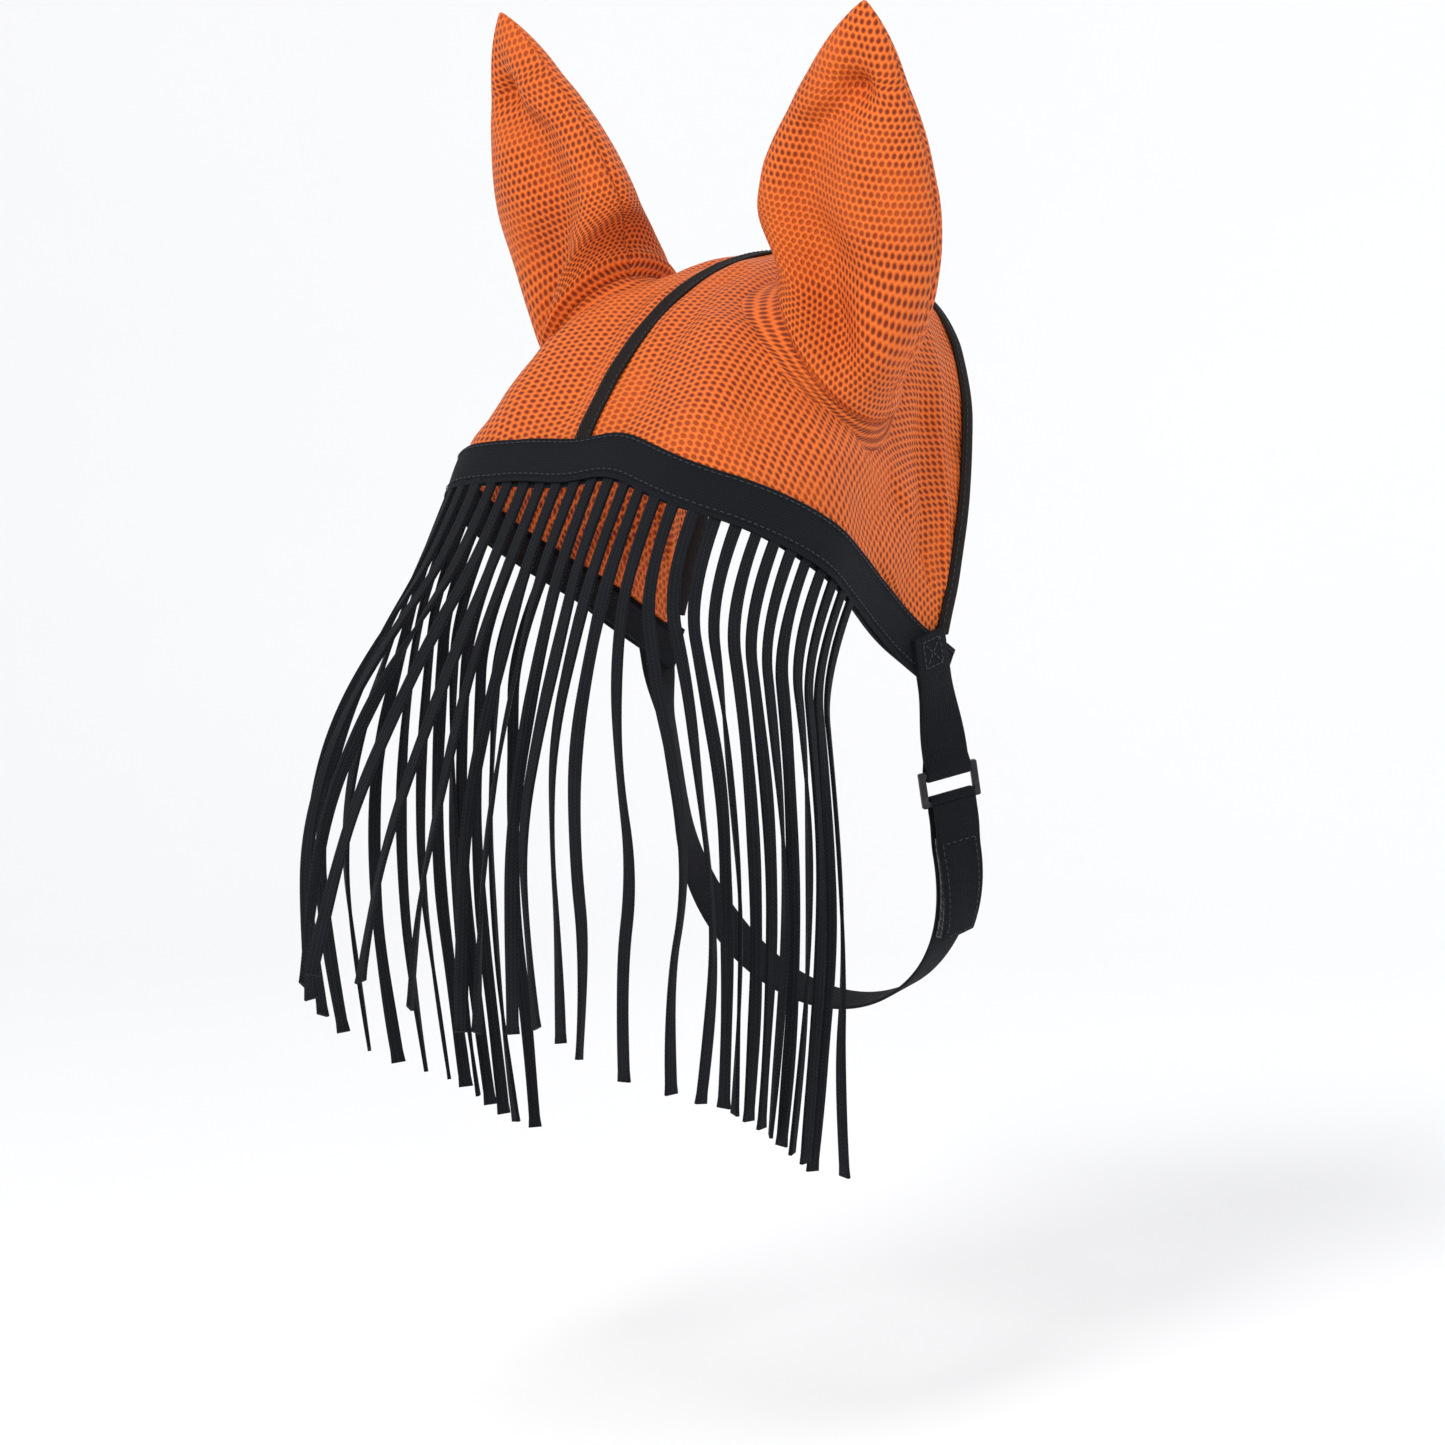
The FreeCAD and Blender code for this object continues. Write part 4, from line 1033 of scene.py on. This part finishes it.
def turn_axis(y, side):
    """Distance from the middle plane of the upright line that the strap turns about."""
    if y < BEND:
        return side * STRAP_MIDDLE + math.sqrt(max(STRAP_RADIUS**2 - (y - BEND) ** 2, 0.0))
    if side < 0:
        return STRAP_RIGHT
    return blend(BAR_X, STRAP_LEFT, ease((TURN_HELD - y) / (TURN_HELD - BEND)))


def strap_point(x, y, z=0.0):
    """Point given in the throat strap's own frame, turned as its face is to lie on the cheek."""
    side = math.copysign(1, x)
    share = ease((TURN_START - y) / (TURN_START - TURN_FULL))
    angle = STRAP_TURN * share * ease((y - TURN_END) / (TURN_HELD - TURN_END))
    axis = turn_axis(y, side)
    out = abs(x) - axis
    new_x = axis + out * math.cos(angle) - z * math.sin(angle)
    new_z = z * math.cos(angle) + out * math.sin(angle)
    return (CORNER + Vector((side * new_x, 0, 0)) + STRAP_UP * y
            + STRAP_FORE * (STRAP_FORWARD + new_z))


def strap_across(x, y):
    """Direction of the strap's width, towards its front edge."""
    return (strap_point(x, y, MM) - strap_point(x, y, 0.0)).normalized()


def arc_points(x, y, radius, start, stop, count):
    """Points of an arc in the strap's frame, angles in degrees."""
    return [(x + radius * math.cos(math.radians(a)), y + radius * math.sin(math.radians(a)))
            for a in steps(start, stop, count)]


def run_points(x, start, stop, count):
    """Points of an upright run, both ends included."""
    return [(x, y) for y in steps(start, stop, count)]


def strap_tape(name, points, thickness=WEBBING * 0.98, width=BAND_WIDTH):
    """Webbing that follows points of the strap's frame, its width lying fore and aft."""
    path = [strap_point(x, y) for x, y in points]
    return ribbon(name, path, [strap_across(x, y) for x, y in points], width, thickness)


def make_hanger_piece():
    """Left hanger: one tape, down outside the band, round the ring's bar and up again."""
    reach = FOLD + HALF_PLY * 0.9
    points = run_points(STRAP_IN + HALF_PLY, STRAP_HEAD, UPPER_BAR + 7 * MM, 40)
    points += [(BAR_X - reach, UPPER_BAR + 1.5 * MM)]
    points += arc_points(BAR_X, UPPER_BAR, FOLD + HALF_PLY, 200, 340, 19)
    points += [(BAR_X + reach, UPPER_BAR + 1.5 * MM)]
    points += run_points(STRAP_IN + 3 * HALF_PLY, UPPER_BAR + 7 * MM, STRAP_HEAD, 40)
    dress(strap_tape("hanger_webbing", points), "webbing", "throat_loop", "hanger_left")


def make_throat_piece():
    """Throat strap: from the right corner round under the throat and through the ring."""
    points = run_points(-STRAP_RIGHT, STRAP_HEAD, BEND + 1 * MM, 60)
    points += arc_points(STRAP_MIDDLE, BEND, STRAP_RADIUS, 180, 360, 140)
    points += run_points(STRAP_LEFT, BEND + 1 * MM, LOWER_BAR - 1 * MM, 12)
    points += arc_points(BAR_X, LOWER_BAR, FOLD + HALF_PLY, 180, 0, 22)
    dress(strap_tape("throat_webbing", points), "webbing", "throat_loop", "throat_strap")


def closure_points(start, stop, out, count):
    """Points along the outside of the strap's left side, a distance outside its outer face."""
    reach = STRAP_RADIUS + HALF_PLY + out
    points = []
    for distance in steps(start, stop, count):
        angle = (distance - (LOWER_BAR - BEND)) / reach
        if angle <= 0:
            points.append((STRAP_LEFT + HALF_PLY + out, LOWER_BAR - distance))
        else:
            points.append((STRAP_MIDDLE + reach * math.cos(angle),
                           BEND - reach * math.sin(angle)))
    return points


def make_closure():
    """Turned-back tail with its hook patch, the loop patch under it, and its stitches."""
    fold = 2 * FOLD
    patch = (fold - 0.4 * MM) / 2
    tail = strap_tape("tail_webbing", closure_points(0.3 * MM, 78 * MM, fold + HALF_PLY, 60))
    dress(tail, "webbing", "strap_tail", "strap_tail")
    for name, slot, body, node, out in (
            ("hook_pile", "hook_tape", "strap_tail", "hook_patch", fold - patch / 2),
            ("loop_pile", "loop_tape", "throat_loop", "loop_patch", patch / 2)):
        points = closure_points(20.5 * MM, 76.5 * MM, out, 50)
        dress(strap_tape(name, points, patch, 22 * MM), slot, body, node)
    sewn = fold + WEBBING + 0.05 * MM
    edge, first, last = 9.6 * MM, 22 * MM, 76 * MM
    for name, depth in (("tail_stitches_fore", edge), ("tail_stitches_aft", -edge)):
        path = [strap_point(x, y, depth) for x, y in closure_points(first, last, sewn, 60)]
        middle = strap_point(STRAP_MIDDLE, BEND, depth)
        stitches(name, path, [(point - middle).normalized() for point in path], "strap_tail")
    for name, place in (("tail_stitches_top", first), ("tail_stitches_end", last)):
        x, y = closure_points(place, place, sewn, 2)[0]
        path = [strap_point(x, y, z) for z in (-edge, 0, edge)]
        outward = (path[1] - strap_point(STRAP_MIDDLE, BEND)).normalized()
        stitches(name, path, [outward] * 3, "strap_tail")


make_hanger_piece()
make_throat_piece()
make_closure()


def box_stitching(side_name, side):
    """Box with a cross in it, sewn through the strap's head and the band."""
    plies = 2 if side > 0 else 1
    out = side * (STRAP_IN + WEBBING * plies + 0.1 * MM)
    outward = Vector((side, 0, 0))
    edge = 7 * MM
    corners = [(-edge, -edge), (edge, -edge), (edge, edge), (-edge, edge), (-edge, -edge)]
    lines = list(zip(corners, corners[1:]))
    lines += [((-edge, -edge), (edge, edge)), ((-edge, edge), (edge, -edge))]
    for number, ((z_a, y_a), (z_b, y_b)) in enumerate(lines):
        path = [strap_point(out, blend(y_a, y_b, s), blend(z_a, z_b, s)) for s in steps(0, 1, 5)]
        stitches("box_stitches_%s_%d" % (side_name, number), path, [outward] * 5, "throat_loop",
                 2.6 * MM, 0.9 * MM, 0.42 * MM,
                 node=None if number else "stitching_" + side_name)


for side_name, side in SIDES:
    box_stitching(side_name, side)

ring = bpy.data.objects["strap_ring"]
ring.data.materials.clear()
ring.data.materials.append(MATERIALS["ring_plastic"])

# ------------------------------------------------------------------ backdrop, light and finish


def make_backdrop():
    """Pale floor that curves up into a wall far behind the object."""
    aim = Vector((AIM.x - camera.location.x, AIM.y - camera.location.y, 0)).normalized()
    side = Vector((-aim.y, aim.x, 0))
    middle = Vector((AIM.x, AIM.y, -0.60))
    run, bend = 1.6, 1.2
    profile = [(-4.0, 0.0), (0.0, 0.0), (run, 0.0)]
    profile += [(run + bend * math.sin(a), bend - bend * math.cos(a))
                for a in steps(0.15, math.pi / 2, 10)]
    profile += [(run + bend, 4.0)]
    reaches = steps(-5, 5, 11)
    rows = [[middle + aim * b + side * reach + Vector((0, 0, z)) for b, z in profile]
            for reach in reaches]
    uvs = [[(reach, b) for b, _ in profile] for reach in reaches]
    backdrop = grid_piece("studio_backdrop", rows, uvs)
    shader = Shader("pale_backdrop")
    soft = shader.noise(1.5, 2)
    color = shader.mix(soft, (0.90, 0.90, 0.90), (0.93, 0.93, 0.93))
    shader.finish(color, 0.95)
    backdrop.data.materials.append(shader.material)


make_backdrop()
for name, place, across, power in (
        ("key_light", (0.4, -2.6, 2.0), 1.1, 58),
        ("fill_light", (2.8, -0.8, 0.9), 2.4, 14),
        ("rim_light", (0.8, 2.2, 1.8), 1.4, 18)):
    lamp = bpy.data.lights.new(name, "AREA")
    lamp.shape = "DISK"
    lamp.size = across
    lamp.energy = power
    aimed(name, lamp, place)

# The world lights the object at its own strength and is white where the camera sees it.
WORLD_LIGHT = 0.72
world = bpy.data.worlds.new("studio")
world.use_nodes = True
nodes, links = world.node_tree.nodes, world.node_tree.links
nodes["Background"].inputs["Color"].default_value = (0.97, 0.98, 1.0, 1)
strength = nodes.new("ShaderNodeMath")
strength.operation = "MULTIPLY_ADD"
strength.inputs[1].default_value = 1 - WORLD_LIGHT
strength.inputs[2].default_value = WORLD_LIGHT
links.new(nodes.new("ShaderNodeLightPath").outputs["Is Camera Ray"], strength.inputs[0])
links.new(strength.outputs[0], nodes["Background"].inputs["Strength"])
bpy.context.scene.world = world
bpy.context.scene.view_settings.view_transform = "Standard"
bpy.context.scene.view_settings.look = "None"
